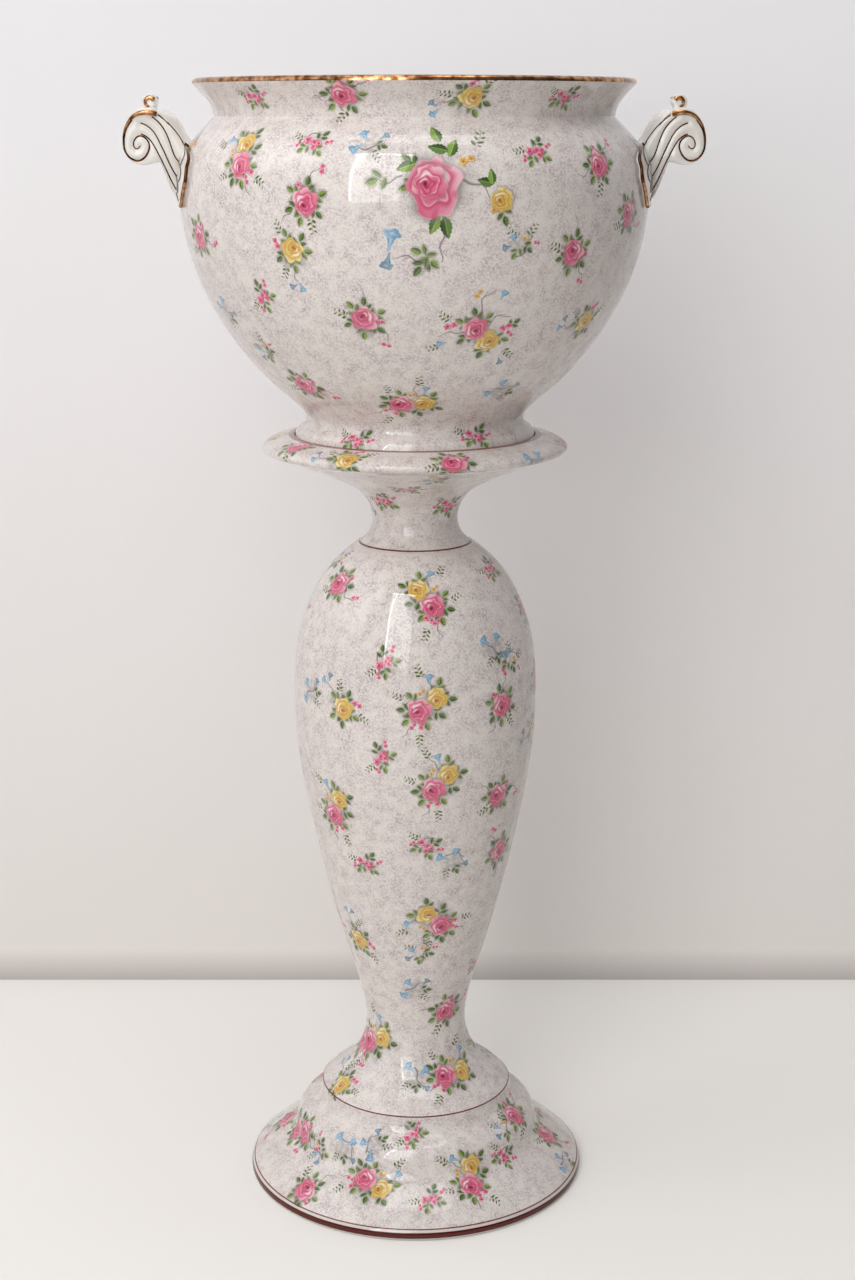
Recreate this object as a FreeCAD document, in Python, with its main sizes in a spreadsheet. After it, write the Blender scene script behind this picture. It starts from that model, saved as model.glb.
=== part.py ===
"""Jardiniere on a stand, in glazed earthenware.

A round flower bowl with two scroll handles rests in the shallow well of a tall hollow
stand, and lifts straight off it. The stand is slip cast in three hollow sections, which
are luted together behind two painted lines: a stepped foot, a pear-shaped column, and a
narrow neck that opens into the saucer. All sizes are millimetres. The origin is on the
floor, on the axis that every turned piece shares; +Z is up and the handles lie along X.
"""
import FreeCAD, Part
import os

import Sketcher
from FreeCAD import Vector

# Every driving size: its alias in the sheet, its value and what it measures.
SIZES = (
    # The stand's foot, from the floor up.
    ("stand_wall", 9.0, "thickness of the stand's cast wall"),
    ("foot_height", 78.0, "floor to the joint under the column"),
    ("foot_rest_outer", 146.0, "outer radius of the flat ring that meets the floor"),
    ("foot_rest_inner", 137.0, "inner radius of that ring"),
    ("foot_edge_radius", 150.3, "control points of the rounded edge"),
    ("foot_edge_height", 7.3, "height of the upper one"),
    ("foot_line_radius", 146.5, "radius at the thin painted line above the edge"),
    ("foot_line_height", 10.0, "height of the thin painted line"),
    ("flange_low_radius", 135.5, "lower control point of the sloping flange"),
    ("flange_low_height", 20.0, "its height"),
    ("flange_high_radius", 118.5, "upper control point of the flange"),
    ("flange_high_height", 31.0, "its height"),
    ("cove_radius", 107.5, "radius of the cove between flange and dome"),
    ("cove_height", 44.0, "height where the wall is upright above the cove"),
    ("cove_drop", 5.5, "how far the upright wall runs down into the cove"),
    ("dome_rise", 10.5, "how far the upright wall runs up into the dome"),
    ("dome_radius", 98.0, "control point on the dome's shoulder"),
    ("dome_height", 64.5, "its height"),
    ("dome_tuck", 9.0, "how far under the joint the dome meets the riser"),
    # The column, from the joint on the foot up.
    ("column_height", 496.0, "joint on the foot to the joint under the neck"),
    ("step_radius", 84.0, "radius of the small riser under the painted step line"),
    ("step_height", 4.0, "height of the riser"),
    ("skirt_low_radius", 70.5, "lower control point of the skirt above the step"),
    ("skirt_low_height", 17.5, "its height"),
    ("skirt_high_radius", 52.5, "upper control point of the skirt"),
    ("skirt_high_height", 25.5, "its height"),
    ("waist_radius", 44.0, "column's narrowest radius"),
    ("waist_height", 66.0, "its height"),
    ("waist_drop", 14.5, "how far the waist runs straight down"),
    ("waist_rise", 16.0, "how far the waist runs straight up"),
    ("calf_radius", 59.0, "control point low on the column's flare"),
    ("calf_height", 129.0, "its height"),
    ("thigh_radius", 74.5, "control point midway up the flare"),
    ("thigh_height", 181.5, "its height"),
    ("hip_radius", 91.0, "control point high on the flare"),
    ("hip_height", 253.0, "its height"),
    ("column_radius", 104.0, "column's widest radius"),
    ("widest_height", 367.0, "its height"),
    ("widest_drop", 45.5, "how far the widest part runs straight down"),
    ("widest_rise", 42.0, "how far the widest part runs straight up"),
    ("shoulder_low_radius", 92.0, "lower control point of the rounded shoulder"),
    ("shoulder_low_depth", 53.0, "its depth under the column's top"),
    ("shoulder_high_radius", 77.0, "upper control point of the shoulder"),
    ("shoulder_high_depth", 19.5, "its depth under the column's top"),
    ("column_top_radius", 50.0, "radius of the column's flat top"),
    # The neck and saucer, from the joint on the column up.
    ("saucer_height", 93.0, "joint on the column to the inner lip of the saucer"),
    ("neck_foot_radius", 48.5, "radius at the painted line under the neck"),
    ("neck_flare_radius", 45.0, "control point of the neck's flared foot"),
    ("neck_flare_height", 3.0, "its height"),
    ("neck_radius", 36.0, "neck's narrowest radius"),
    ("neck_height", 22.0, "its height"),
    ("neck_drop", 13.5, "how far the narrow neck runs straight down"),
    ("neck_rise", 8.0, "how far the narrow neck runs straight up"),
    ("cup_low_radius", 44.0, "lower control point of the saucer's underside"),
    ("cup_low_height", 46.5, "its height"),
    ("cup_high_radius", 62.5, "upper control point of the underside"),
    ("cup_high_height", 55.0, "its height"),
    ("brim_radius", 113.0, "radius where the underside meets the rounded brim"),
    ("brim_height", 75.5, "its height"),
    ("brim_under_radius", 124.5, "control point low on the brim's edge"),
    ("brim_under_depth", 15.0, "its depth under the inner lip"),
    ("brim_edge_radius", 128.5, "control point at the brim's outermost edge"),
    ("brim_edge_depth", 12.0, "its depth under the inner lip"),
    ("brim_over_radius", 127.5, "control point high on the brim's edge"),
    ("brim_over_depth", 7.5, "its depth under the inner lip"),
    ("brim_top_radius", 117.0, "control point on the brim's sloping top"),
    ("brim_top_depth", 2.0, "its depth under the inner lip"),
    ("well_depth", 6.0, "depth of the well that the bowl's foot sits in"),
    ("well_floor", 10.0, "thickness of the well's floor"),
    ("well_hole_radius", 20.0, "radius of the casting hole through the well's floor"),
    ("well_roof_radius", 90.0, "radius where the neck's hollow meets the well's floor"),
    ("seat_clearance", 1.0, "gap between the bowl's foot and the well's wall"),
    # The bowl, from its seat in the well up.
    ("bowl_height", 292.5, "seat to the top of the rim"),
    ("bowl_wall", 8.0, "thickness of the bowl's wall"),
    ("bowl_floor", 10.0, "thickness of the bowl's floor"),
    ("bowl_recess", 6.0, "height of the hollow inside the foot ring"),
    ("bowl_ring_width", 12.0, "width of the foot ring's flat face"),
    ("bowl_foot_radius", 100.0, "outer radius of the foot ring"),
    ("bowl_foot_edge", 5.0, "height of the foot ring's upright edge"),
    ("bowl_foot_rise", 6.0, "how far that edge runs on before it turns in"),
    ("bowl_cove_radius", 92.0, "control point of the cove above the foot"),
    ("bowl_cove_height", 15.0, "its height"),
    ("bowl_waist_radius", 90.5, "bowl's narrowest radius, just above its foot"),
    ("bowl_waist_height", 21.0, "its height"),
    ("bowl_waist_reach", 3.0, "how far the narrow part runs straight, up and down"),
    ("flank_low_radius", 99.0, "lower control point of the bowl's flank"),
    ("flank_low_height", 34.0, "its height"),
    ("flank_high_radius", 142.5, "upper control point of the flank"),
    ("flank_high_height", 67.5, "its height"),
    ("belly_radius", 190.5, "bowl's widest radius"),
    ("belly_height", 205.0, "its height"),
    ("belly_drop", 55.0, "how far the widest part runs straight down"),
    ("belly_rise", 18.5, "how far the widest part runs straight up"),
    ("round_low_radius", 183.5, "lower control point of the bowl's shoulder"),
    ("round_low_depth", 49.5, "its depth under the rim"),
    ("round_high_radius", 170.0, "upper control point of the bowl's shoulder"),
    ("round_high_depth", 38.0, "its depth under the rim"),
    ("crease_radius", 162.0, "radius of the crease between shoulder and collar"),
    ("crease_depth", 29.5, "its depth under the rim"),
    ("collar_rise", 10.0, "how far the collar runs straight up from the crease"),
    ("collar_radius", 171.5, "control point of the flared collar"),
    ("collar_depth", 11.5, "its depth under the rim"),
    ("rim_radius", 178.5, "outer radius of the gilded rim"),
    # The scroll handles: heights from the bowl's seat, reaches out from the bowl's belly.
    ("handle_width", 58.0, "breadth of the strap along Y"),
    ("handle_tip_width", 30.0, "breadth of the strap at its lower tip"),
    ("handle_taper", 38.0, "height over which the strap narrows to that tip"),
    ("handle_tip_height", 194.0, "height of the lower tip"),
    ("handle_tip_inset", 1.5, "how far inside the belly the lower tip's underside starts"),
    ("handle_root", 14.5, "how far inside the belly the handle's outline closes"),
    ("strap_low_reach", 1.5, "control point low on the strap's underside"),
    ("strap_low_height", 196.0, "its height"),
    ("strap_high_reach", 4.5, "control point high on the strap's underside"),
    ("strap_high_height", 216.0, "its height"),
    ("scroll_radius", 18.0, "radius of the rolled volute"),
    ("scroll_reach", 26.5, "reach of the volute's centre"),
    ("scroll_height", 243.0, "height of the volute's centre"),
    ("crest_reach", 23.0, "reach of the strap's crest"),
    ("crest_height", 270.0, "height of the strap's crest"),
    ("crest_run", 4.5, "how far the crest runs level towards the bowl"),
    ("back_reach", 5.5, "control point on the strap's upper face"),
    ("back_height", 263.5, "its height"),
    ("root_height", 240.0, "height where the upper face runs into the bowl"),
    ("root_run", 12.0, "how far that face runs level before it meets the bowl"),
    ("curl_radius", 6.0, "radius of the small curled leaf tip on the crest"),
    ("curl_rise", 4.5, "height of the leaf tip's centre above the crest"),
    ("curl_width", 20.0, "breadth of the leaf tip along Y"),
)

HALF_TURN_REACH = "2 / 3"  # arm of the control points that round a wall's top, in walls

# The volute's control points, from the notch under it round to its top: the angle in
# degrees round the volute's centre, and the share of its radius.
VOLUTE_TURN = ((-135, 1.02), (-111, 1.07), (-66, 1.18), (-14, 1.0), (40, 1.12))


def make_sheet(doc):
    """Write every driving size into the document's sheet, and return the sheet."""
    sheet = doc.addObject("Spreadsheet::Sheet", "sizes")
    for row, (alias, value, meaning) in enumerate(SIZES, start=1):
        sheet.set(f"A{row}", alias)
        sheet.set(f"B{row}", str(value))
        sheet.set(f"C{row}", meaning)
        sheet.setAlias(f"B{row}", alias)
    doc.recompute()
    return sheet


def size(text):
    """Turn size names joined by + and - into an expression that reads them from the sheet."""
    words = text.split()
    return " ".join(f"sizes.{word}" if word.replace("_", "").isalpha() else word for word in words)


class Spot:
    """A point of a half profile: its radius and height as expressions.

    lean is the angle in degrees by which the wall's outward face looks down at this
    point. It says where the inner face lies, one wall thickness behind the outer one.
    """

    def __init__(self, radius, height, lean=0.0):
        self.radius = size(radius)
        self.height = size(height)
        self.lean = lean

    def behind(self, wall):
        """Return the point one wall thickness inside this one, square to the outer face."""
        inner = Spot("0", "0")
        inner.radius = f"{self.radius} - {size(wall)} * cos({self.lean} deg)"
        inner.height = f"{self.height} + {size(wall)} * sin({self.lean} deg)"
        return inner


def behind(curve, wall):
    """Return a curve's inner face, run the other way."""
    return [spot.behind(wall) for spot in reversed(curve)]


def origin_plane(body, role):
    """Return one of a body's own three origin planes."""
    return next(plane for plane in body.Origin.OriginFeatures if plane.Role == role)


class Outline:
    """A closed half profile in a sketch, made of straight and curved stretches.

    Each stretch is a list of spots that starts where the last one ended: two spots are a
    straight line, and more are the control points of one smooth curve. Every spot is held
    by dimensions that read the sheet.
    """

    def __init__(self, body, name, plane="XZ_Plane"):
        self.sketch = body.newObject("Sketcher::SketchObject", name)
        self.sketch.AttachmentSupport = [(origin_plane(body, plane), "")]
        self.sketch.MapMode = "FlatFace"
        self.held = []

    def draw(self, stretches):
        """Add the stretches, join them end to end, pin every spot and return the sketch."""
        added = [self.add_stretch(spots) for spots in stretches]
        for this, following in zip(added, added[1:] + added[:1]):
            self.held.append((Sketcher.Constraint("Coincident", this, 2, following, 1), None))
        for index, spots in zip(added, stretches):
            self.pin(index, 1, spots[0])
        return self.finish()

    def draw_circle(self, centre, radius):
        """Add one circle, held by its centre and its radius."""
        middle = self.place(centre)
        reach = self.sketch.evalExpression(size(radius))
        index = self.sketch.addGeometry(Part.Circle(middle, Vector(0, 0, 1), reach), False)
        self.pin(index, 3, centre)
        self.held.append((Sketcher.Constraint("Radius", index, reach), size(radius)))
        return self.finish()

    def add_stretch(self, spots):
        """Add one line or curve, pin its inner control points and return its index."""
        points = [self.place(spot) for spot in spots]
        if len(points) == 2:
            return self.sketch.addGeometry(Part.LineSegment(*points), False)
        degree = 3
        inside = len(points) - degree - 1
        knots = [step / (inside + 1) for step in range(inside + 2)]
        repeats = [degree + 1] + [1] * inside + [degree + 1]
        curve = Part.BSplineCurve()
        curve.buildFromPolesMultsKnots(points, repeats, knots, False, degree)
        index = self.sketch.addGeometry(curve, False)
        self.sketch.exposeInternalGeometry(index)
        for offset, spot in enumerate(spots[1:-1], start=2):
            self.pin(index + offset, 3, spot)
        return index

    def place(self, spot):
        """Return where a spot lies now, from the sheet's present values."""
        values = (self.sketch.evalExpression(text) for text in (spot.radius, spot.height))
        across, up = (float(getattr(value, "Value", value)) for value in values)
        return Vector(across, up, 0)

    def pin(self, index, end, spot):
        """Hold one point by its radius and height, or on the axis where either is 0."""
        here = self.place(spot)
        axes = (("DistanceX", spot.radius, here.x, -2), ("DistanceY", spot.height, here.y, -1))
        for kind, text, value, axis in axes:
            if text == "0":
                self.held.append((Sketcher.Constraint("PointOnObject", index, end, axis), None))
            else:
                dimension = Sketcher.Constraint(kind, -1, 1, index, end, value)
                self.held.append((dimension, text))

    def finish(self):
        """Add the constraints together, bind the dimensions to the sheet, and check them."""
        made = self.sketch.addConstraint([constraint for constraint, _ in self.held])
        for number, (_, text) in zip(made, self.held):
            if text:
                self.sketch.setExpression(f"Constraints[{number}]", text)
        if self.sketch.solve() != 0:
            raise RuntimeError(f"{self.sketch.Label} can't be solved")
        return self.sketch


def turned_body(doc, name, stretches, base):
    """Turn a closed half profile about the axis, on a base height, and return the body."""
    body = doc.addObject("PartDesign::Body", name)
    body.Label = name
    sketch = Outline(body, f"{name}_profile").draw(stretches)
    turned = body.newObject("PartDesign::Revolution", f"{name}_turned")
    turned.Profile = sketch
    turned.ReferenceAxis = (sketch, ["V_Axis"])
    turned.Angle = 360.0
    body.setExpression(".Placement.Base.z", base)
    return body


def make_foot(doc):
    """Make the stand's hollow stepped foot: rounded edge, flange, cove and dome."""
    rest = Spot("foot_rest_outer", "0")
    edge = [
        rest,
        Spot("foot_edge_radius", "0"),
        Spot("foot_edge_radius", "foot_edge_height"),
        Spot("foot_line_radius", "foot_line_height", -50.0),
    ]
    flange = [
        edge[-1],
        Spot("flange_low_radius", "flange_low_height", -54.0),
        Spot("flange_high_radius", "flange_high_height", -52.0),
        Spot("cove_radius", "cove_height - cove_drop", -20.0),
        Spot("cove_radius", "cove_height"),
    ]
    dome = [
        flange[-1],
        Spot("cove_radius", "cove_height + dome_rise", -20.0),
        Spot("dome_radius", "dome_height", -60.0),
        Spot("step_radius", "foot_height - dome_tuck", -35.0),
        Spot("step_radius", "foot_height"),
    ]
    inside_rest = Spot("foot_rest_inner", "0")
    inner_dome = behind(dome, "stand_wall")
    inner_flange = behind(flange, "stand_wall")
    stretches = [
        edge,
        flange,
        dome,
        [dome[-1], inner_dome[0]],
        inner_dome,
        inner_flange[:-1] + [inside_rest],
        [inside_rest, rest],
    ]
    return turned_body(doc, "pedestal_foot", stretches, "0 mm")


def make_column(doc):
    """Make the hollow pear-shaped column, with its flared skirt and rounded shoulder."""
    riser = [Spot("step_radius", "0"), Spot("step_radius", "step_height")]
    skirt = [
        riser[-1],
        Spot("skirt_low_radius", "skirt_low_height", -48.0),
        Spot("skirt_high_radius", "skirt_high_height", -48.0),
        Spot("waist_radius", "waist_height - waist_drop"),
        Spot("waist_radius", "waist_height"),
    ]
    flare = [
        skirt[-1],
        Spot("waist_radius", "waist_height + waist_rise", 4.0),
        Spot("calf_radius", "calf_height", 16.0),
        Spot("thigh_radius", "thigh_height", 15.0),
        Spot("hip_radius", "hip_height", 11.0),
        Spot("column_radius", "widest_height - widest_drop"),
        Spot("column_radius", "widest_height"),
    ]
    shoulder = [
        flare[-1],
        Spot("column_radius", "widest_height + widest_rise", -8.0),
        Spot("shoulder_low_radius", "column_height - shoulder_low_depth", -25.0),
        Spot("shoulder_high_radius", "column_height - shoulder_high_depth", -42.0),
        Spot("column_top_radius", "column_height", -45.0),
    ]
    foot_inside = riser[0].behind("stand_wall")
    foot_inside.height = "0"
    mouth = Spot("neck_foot_radius - stand_wall", "column_height")
    throat = Spot("neck_foot_radius - stand_wall", "column_height - stand_wall")
    stretches = [
        riser,
        skirt,
        flare,
        shoulder,
        [shoulder[-1], mouth],
        [mouth, throat],
        [throat] + behind(shoulder, "stand_wall")[1:],
        behind(flare, "stand_wall"),
        behind(skirt, "stand_wall"),
        [riser[-1].behind("stand_wall"), foot_inside],
        [foot_inside, riser[0]],
    ]
    return turned_body(doc, "pedestal_column", stretches, size("foot_height"))


def make_saucer(doc):
    """Make the narrow hollow neck and the saucer, with the well that takes the bowl."""
    foot = Spot("neck_foot_radius", "0")
    neck = [
        foot,
        Spot("neck_flare_radius", "neck_flare_height"),
        Spot("neck_radius", "neck_height - neck_drop"),
        Spot("neck_radius", "neck_height"),
    ]
    underside = [
        neck[-1],
        Spot("neck_radius", "neck_height + neck_rise", 8.0),
        Spot("cup_low_radius", "cup_low_height", 50.0),
        Spot("cup_high_radius", "cup_high_height", 65.0),
        Spot("brim_radius", "brim_height"),
    ]
    lip = Spot("bowl_foot_radius + seat_clearance", "saucer_height")
    brim = [
        underside[-1],
        Spot("brim_under_radius", "saucer_height - brim_under_depth"),
        Spot("brim_edge_radius", "saucer_height - brim_edge_depth"),
        Spot("brim_over_radius", "saucer_height - brim_over_depth"),
        Spot("brim_top_radius", "saucer_height - brim_top_depth"),
        lip,
    ]
    seat_outer = Spot("bowl_foot_radius + seat_clearance", "saucer_height - well_depth")
    seat_inner = Spot("well_hole_radius", "saucer_height - well_depth")
    hole_foot = Spot("well_hole_radius", "saucer_height - well_depth - well_floor")
    roof = Spot("well_roof_radius", "saucer_height - well_depth - well_floor")
    foot_inside = Spot("neck_foot_radius - stand_wall", "0")
    stretches = [
        neck,
        underside,
        brim,
        [lip, seat_outer],
        [seat_outer, seat_inner],
        [seat_inner, hole_foot],
        [hole_foot, roof],
        [roof] + behind(underside, "stand_wall")[1:],
        behind(neck, "stand_wall")[:-1] + [foot_inside],
        [foot_inside, foot],
    ]
    return turned_body(doc, "pedestal_saucer", stretches, size("foot_height + column_height"))


SEAT = size("foot_height + column_height + saucer_height - well_depth")


def bowl_outer_face():
    """Return the bowl's outer face from its foot ring up, as a list of stretches."""
    edge = [Spot("bowl_foot_radius", "0"), Spot("bowl_foot_radius", "bowl_foot_edge")]
    cove = [
        edge[-1],
        Spot("bowl_foot_radius", "bowl_foot_edge + bowl_foot_rise"),
        Spot("bowl_cove_radius", "bowl_cove_height"),
        Spot("bowl_waist_radius", "bowl_waist_height - bowl_waist_reach"),
        Spot("bowl_waist_radius", "bowl_waist_height"),
    ]
    flank = [
        cove[-1],
        Spot("bowl_waist_radius", "bowl_waist_height + bowl_waist_reach", 60.0),
        Spot("flank_low_radius", "flank_low_height", 50.0),
        Spot("flank_high_radius", "flank_high_height", 41.0),
        Spot("belly_radius", "belly_height - belly_drop", 8.0),
        Spot("belly_radius", "belly_height"),
    ]
    shoulder = [
        flank[-1],
        Spot("belly_radius", "belly_height + belly_rise"),
        Spot("round_low_radius", "bowl_height - round_low_depth", -28.0),
        Spot("round_high_radius", "bowl_height - round_high_depth", -45.0),
        Spot("crease_radius", "bowl_height - crease_depth", -22.0),
    ]
    collar = [
        shoulder[-1],
        Spot("crease_radius", "bowl_height - crease_depth + collar_rise", 15.0),
        Spot("collar_radius", "bowl_height - collar_depth", 45.0),
        Spot("rim_radius", "bowl_height - bowl_wall / 2"),
    ]
    return [edge, cove, flank, shoulder, collar]


def make_bowl(doc):
    """Make the bowl: a turned shell with a foot ring, a level floor and a rounded rim."""
    edge, cove, flank, shoulder, collar = bowl_outer_face()
    rim_arm = f"bowl_height - bowl_wall / 2 + bowl_wall * {HALF_TURN_REACH}"
    rim = [
        collar[-1],
        Spot("rim_radius", rim_arm),
        Spot("rim_radius - bowl_wall", rim_arm),
        Spot("rim_radius - bowl_wall", "bowl_height - bowl_wall / 2"),
    ]
    floor_edge = Spot("bowl_waist_radius - bowl_wall - bowl_ring_width", "bowl_recess + bowl_floor")
    bend = Spot("bowl_waist_radius - bowl_wall", "bowl_recess + bowl_floor")
    floor_middle = Spot("0", "bowl_recess + bowl_floor")
    recess_middle = Spot("0", "bowl_recess")
    recess_edge = Spot("bowl_foot_radius - bowl_ring_width", "bowl_recess")
    ring_inner = Spot("bowl_foot_radius - bowl_ring_width", "0")
    stretches = [
        edge,
        cove,
        flank,
        shoulder,
        collar,
        rim,
        behind(collar, "bowl_wall"),
        behind(shoulder, "bowl_wall"),
        behind(flank, "bowl_wall")[:-1] + [bend, floor_edge],
        [floor_edge, floor_middle],
        [floor_middle, recess_middle],
        [recess_middle, recess_edge],
        [recess_edge, ring_inner],
        [ring_inner, edge[0]],
    ]
    return turned_body(doc, "bowl", stretches, SEAT)


def make_bowl_envelope(doc):
    """Make the solid inside the bowl's outer face, which the handles' roots are cut to."""
    face = bowl_outer_face()
    top_middle = Spot("0", "bowl_height - bowl_wall / 2")
    middle = Spot("0", "0")
    stretches = face + [[face[-1][-1], top_middle], [top_middle, middle], [middle, face[0][0]]]
    return turned_body(doc, "bowl_envelope", stretches, SEAT)


def on_volute(angle, share):
    """Return a point at an angle round the volute's centre, at a share of its radius."""
    centre = Spot("belly_radius + scroll_reach", "scroll_height")
    centre.radius += f" + sizes.scroll_radius * {share} * cos({angle} deg)"
    centre.height += f" + sizes.scroll_radius * {share} * sin({angle} deg)"
    return centre


def handle_outline():
    """Return the handle's outline, seen along Y: tip, underside, volute, crest and back."""
    root_low = Spot("belly_radius - handle_root", "handle_tip_height")
    root_high = Spot("belly_radius - handle_root", "root_height")
    tip = Spot("belly_radius - handle_tip_inset", "handle_tip_height")
    volute = [on_volute(angle, share) for angle, share in VOLUTE_TURN]
    crest = Spot("belly_radius + crest_reach", "crest_height")
    return [
        [root_low, tip],
        [
            tip,
            Spot("belly_radius + strap_low_reach", "strap_low_height"),
            Spot("belly_radius + strap_high_reach", "strap_high_height"),
            volute[0],
        ],
        [
            *volute,
            Spot("belly_radius + crest_reach + crest_run + crest_run", "crest_height"),
            crest,
        ],
        [
            crest,
            Spot("belly_radius + crest_reach - crest_run", "crest_height"),
            Spot("belly_radius + back_reach", "back_height"),
            Spot("belly_radius - handle_root + root_run", "root_height"),
            root_high,
        ],
        [root_high, root_low],
    ]


def pad(body, name, sketch, breadth):
    """Thicken a sketch equally to both sides of its plane, by a breadth from the sheet."""
    feature = body.newObject("PartDesign::Pad", name)
    feature.Profile = sketch
    feature.SideType = "Symmetric"
    feature.setExpression("Length", size(breadth))
    return feature


def taper_strap(doc, body):
    """Cut both lower corners off the strap, so that it narrows to its tip."""
    high = Spot("handle_width / 2", "handle_tip_height + handle_taper")
    low = Spot("handle_width / 2", "handle_tip_height")
    tip = Spot("handle_tip_width / 2", "handle_tip_height")
    sketch = Outline(body, "taper_profile", "YZ_Plane").draw([[high, tip], [tip, low], [low, high]])
    corner = body.newObject("PartDesign::Pocket", "strap_corner")
    corner.Profile = sketch
    corner.Type = "ThroughAll"
    corner.SideType = "Symmetric"
    doc.recompute()
    both = body.newObject("PartDesign::Mirrored", "strap_corners")
    both.Originals = [corner]
    both.MirrorPlane = (origin_plane(body, "XZ_Plane"), [""])
    body.Tip = both


def add_leaf_curl(body):
    """Set the small rolled leaf tip on the crest of the scroll."""
    outline = Outline(body, "curl_profile")
    centre = Spot("belly_radius + crest_reach", "crest_height + curl_rise")
    outline.draw_circle(centre, "curl_radius")
    body.Tip = pad(body, "leaf_curl", outline.sketch, "curl_width")


def make_handles(doc, envelope):
    """Make the right handle, cut to the bowl's face, and its mirror image on the left."""
    blank = doc.addObject("PartDesign::Body", "handle_blank")
    sketch = Outline(blank, "handle_profile").draw(handle_outline())
    pad(blank, "strap", sketch, "handle_width")
    taper_strap(doc, blank)
    add_leaf_curl(blank)
    blank.setExpression(".Placement.Base.z", SEAT)
    right = doc.addObject("Part::Cut", "handle_right")
    right.Base = blank
    right.Tool = envelope
    right.Label = "handle_right"
    left = doc.addObject("Part::Mirroring", "handle_left")
    left.Source = right
    left.Normal = Vector(1, 0, 0)
    left.Label = "handle_left"
    return right, left


def check(doc, subparts):
    """Stop if any object failed, or if a sub-part isn't one valid closed solid."""
    for item in doc.Objects:
        if "Invalid" in item.State or "Error" in item.State:
            raise RuntimeError(f"{item.Label} failed: {item.State}")
    for subpart in subparts:
        shape = subpart.Shape
        if shape.isNull() or not shape.isValid() or len(shape.Solids) != 1:
            raise RuntimeError(f"{subpart.Label} isn't one valid solid")


def main():
    """Build the document, check it and write each sub-part to its own file."""
    doc = FreeCAD.newDocument("jardiniere_on_stand")
    make_sheet(doc)
    envelope = make_bowl_envelope(doc)
    subparts = [
        make_foot(doc),
        make_column(doc),
        make_saucer(doc),
        make_bowl(doc),
        *make_handles(doc, envelope),
    ]
    doc.recompute()
    check(doc, subparts)
    os.makedirs("parts", exist_ok=True)
    for subpart in subparts:
        subpart.Shape.exportStep(f"parts/{subpart.Label}.step")
        box = subpart.Shape.BoundBox
        print(
            f"{subpart.Label}: {subpart.Shape.Volume / 1000:.0f} cm3,"
            f" Z {box.ZMin:.1f} to {box.ZMax:.1f}, X {box.XMin:.1f} to {box.XMax:.1f}"
        )


main()
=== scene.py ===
"""A jardiniere on its stand: glazed earthenware with a rose chintz print and gilt handles.

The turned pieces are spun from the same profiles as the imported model, the scroll handles
are carved in relief, and a small print of roses, leaves, bells and stems is laid over the
turned pieces stamp by stamp, as a potter lays transfers. Lengths are millimetres here,
and become metres where a mesh is made. The viewer stands on the -Y side.
"""

import ast
import logging
import math
import random
from collections.abc import Sequence
from dataclasses import dataclass
from enum import Enum

import bmesh
import bpy
import numpy as np
from mathutils import Matrix, Vector
from mathutils.bvhtree import BVHTree


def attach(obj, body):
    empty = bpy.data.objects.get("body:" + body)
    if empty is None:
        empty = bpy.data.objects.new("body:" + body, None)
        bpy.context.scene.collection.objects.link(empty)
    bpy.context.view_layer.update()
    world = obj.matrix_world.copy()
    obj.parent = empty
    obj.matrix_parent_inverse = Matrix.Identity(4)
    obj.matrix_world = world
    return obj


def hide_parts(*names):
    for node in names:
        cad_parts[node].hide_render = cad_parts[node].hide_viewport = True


logging.basicConfig(level=logging.INFO, format="%(message)s")
log = logging.getLogger("jardiniere")

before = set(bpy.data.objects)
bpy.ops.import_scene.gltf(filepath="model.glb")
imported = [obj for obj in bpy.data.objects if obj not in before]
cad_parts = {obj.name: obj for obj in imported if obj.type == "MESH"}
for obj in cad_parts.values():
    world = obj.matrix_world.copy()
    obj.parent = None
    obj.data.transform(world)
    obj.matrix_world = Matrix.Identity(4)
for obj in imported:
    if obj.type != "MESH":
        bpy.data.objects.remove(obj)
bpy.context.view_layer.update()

MM = 0.001
FULL_TURN = 2 * math.pi
SAME_SPOT = 0.001 * MM  # vertices closer than this are merged

Spot = tuple[float, float]  # radius and height, or X and Z
Curve = Sequence[Spot]
Socket = bpy.types.NodeSocket
Value = Socket | float | str | Sequence[float]


# ---------------------------------------------------------------------------- node graphs


def linear(colour: str) -> tuple[float, float, float, float]:
    """Turn an sRGB hex colour into the linear colour that a socket takes.

    Args:
        colour: The colour as "#rrggbb".

    Returns:
        Red, green and blue as linear values, and an alpha of 1.
    """
    parts = (int(colour[place : place + 2], 16) / 255 for place in (1, 3, 5))
    red, green, blue = (c / 12.92 if c <= 0.04045 else ((c + 0.055) / 1.055) ** 2.4 for c in parts)
    return red, green, blue, 1.0


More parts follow.
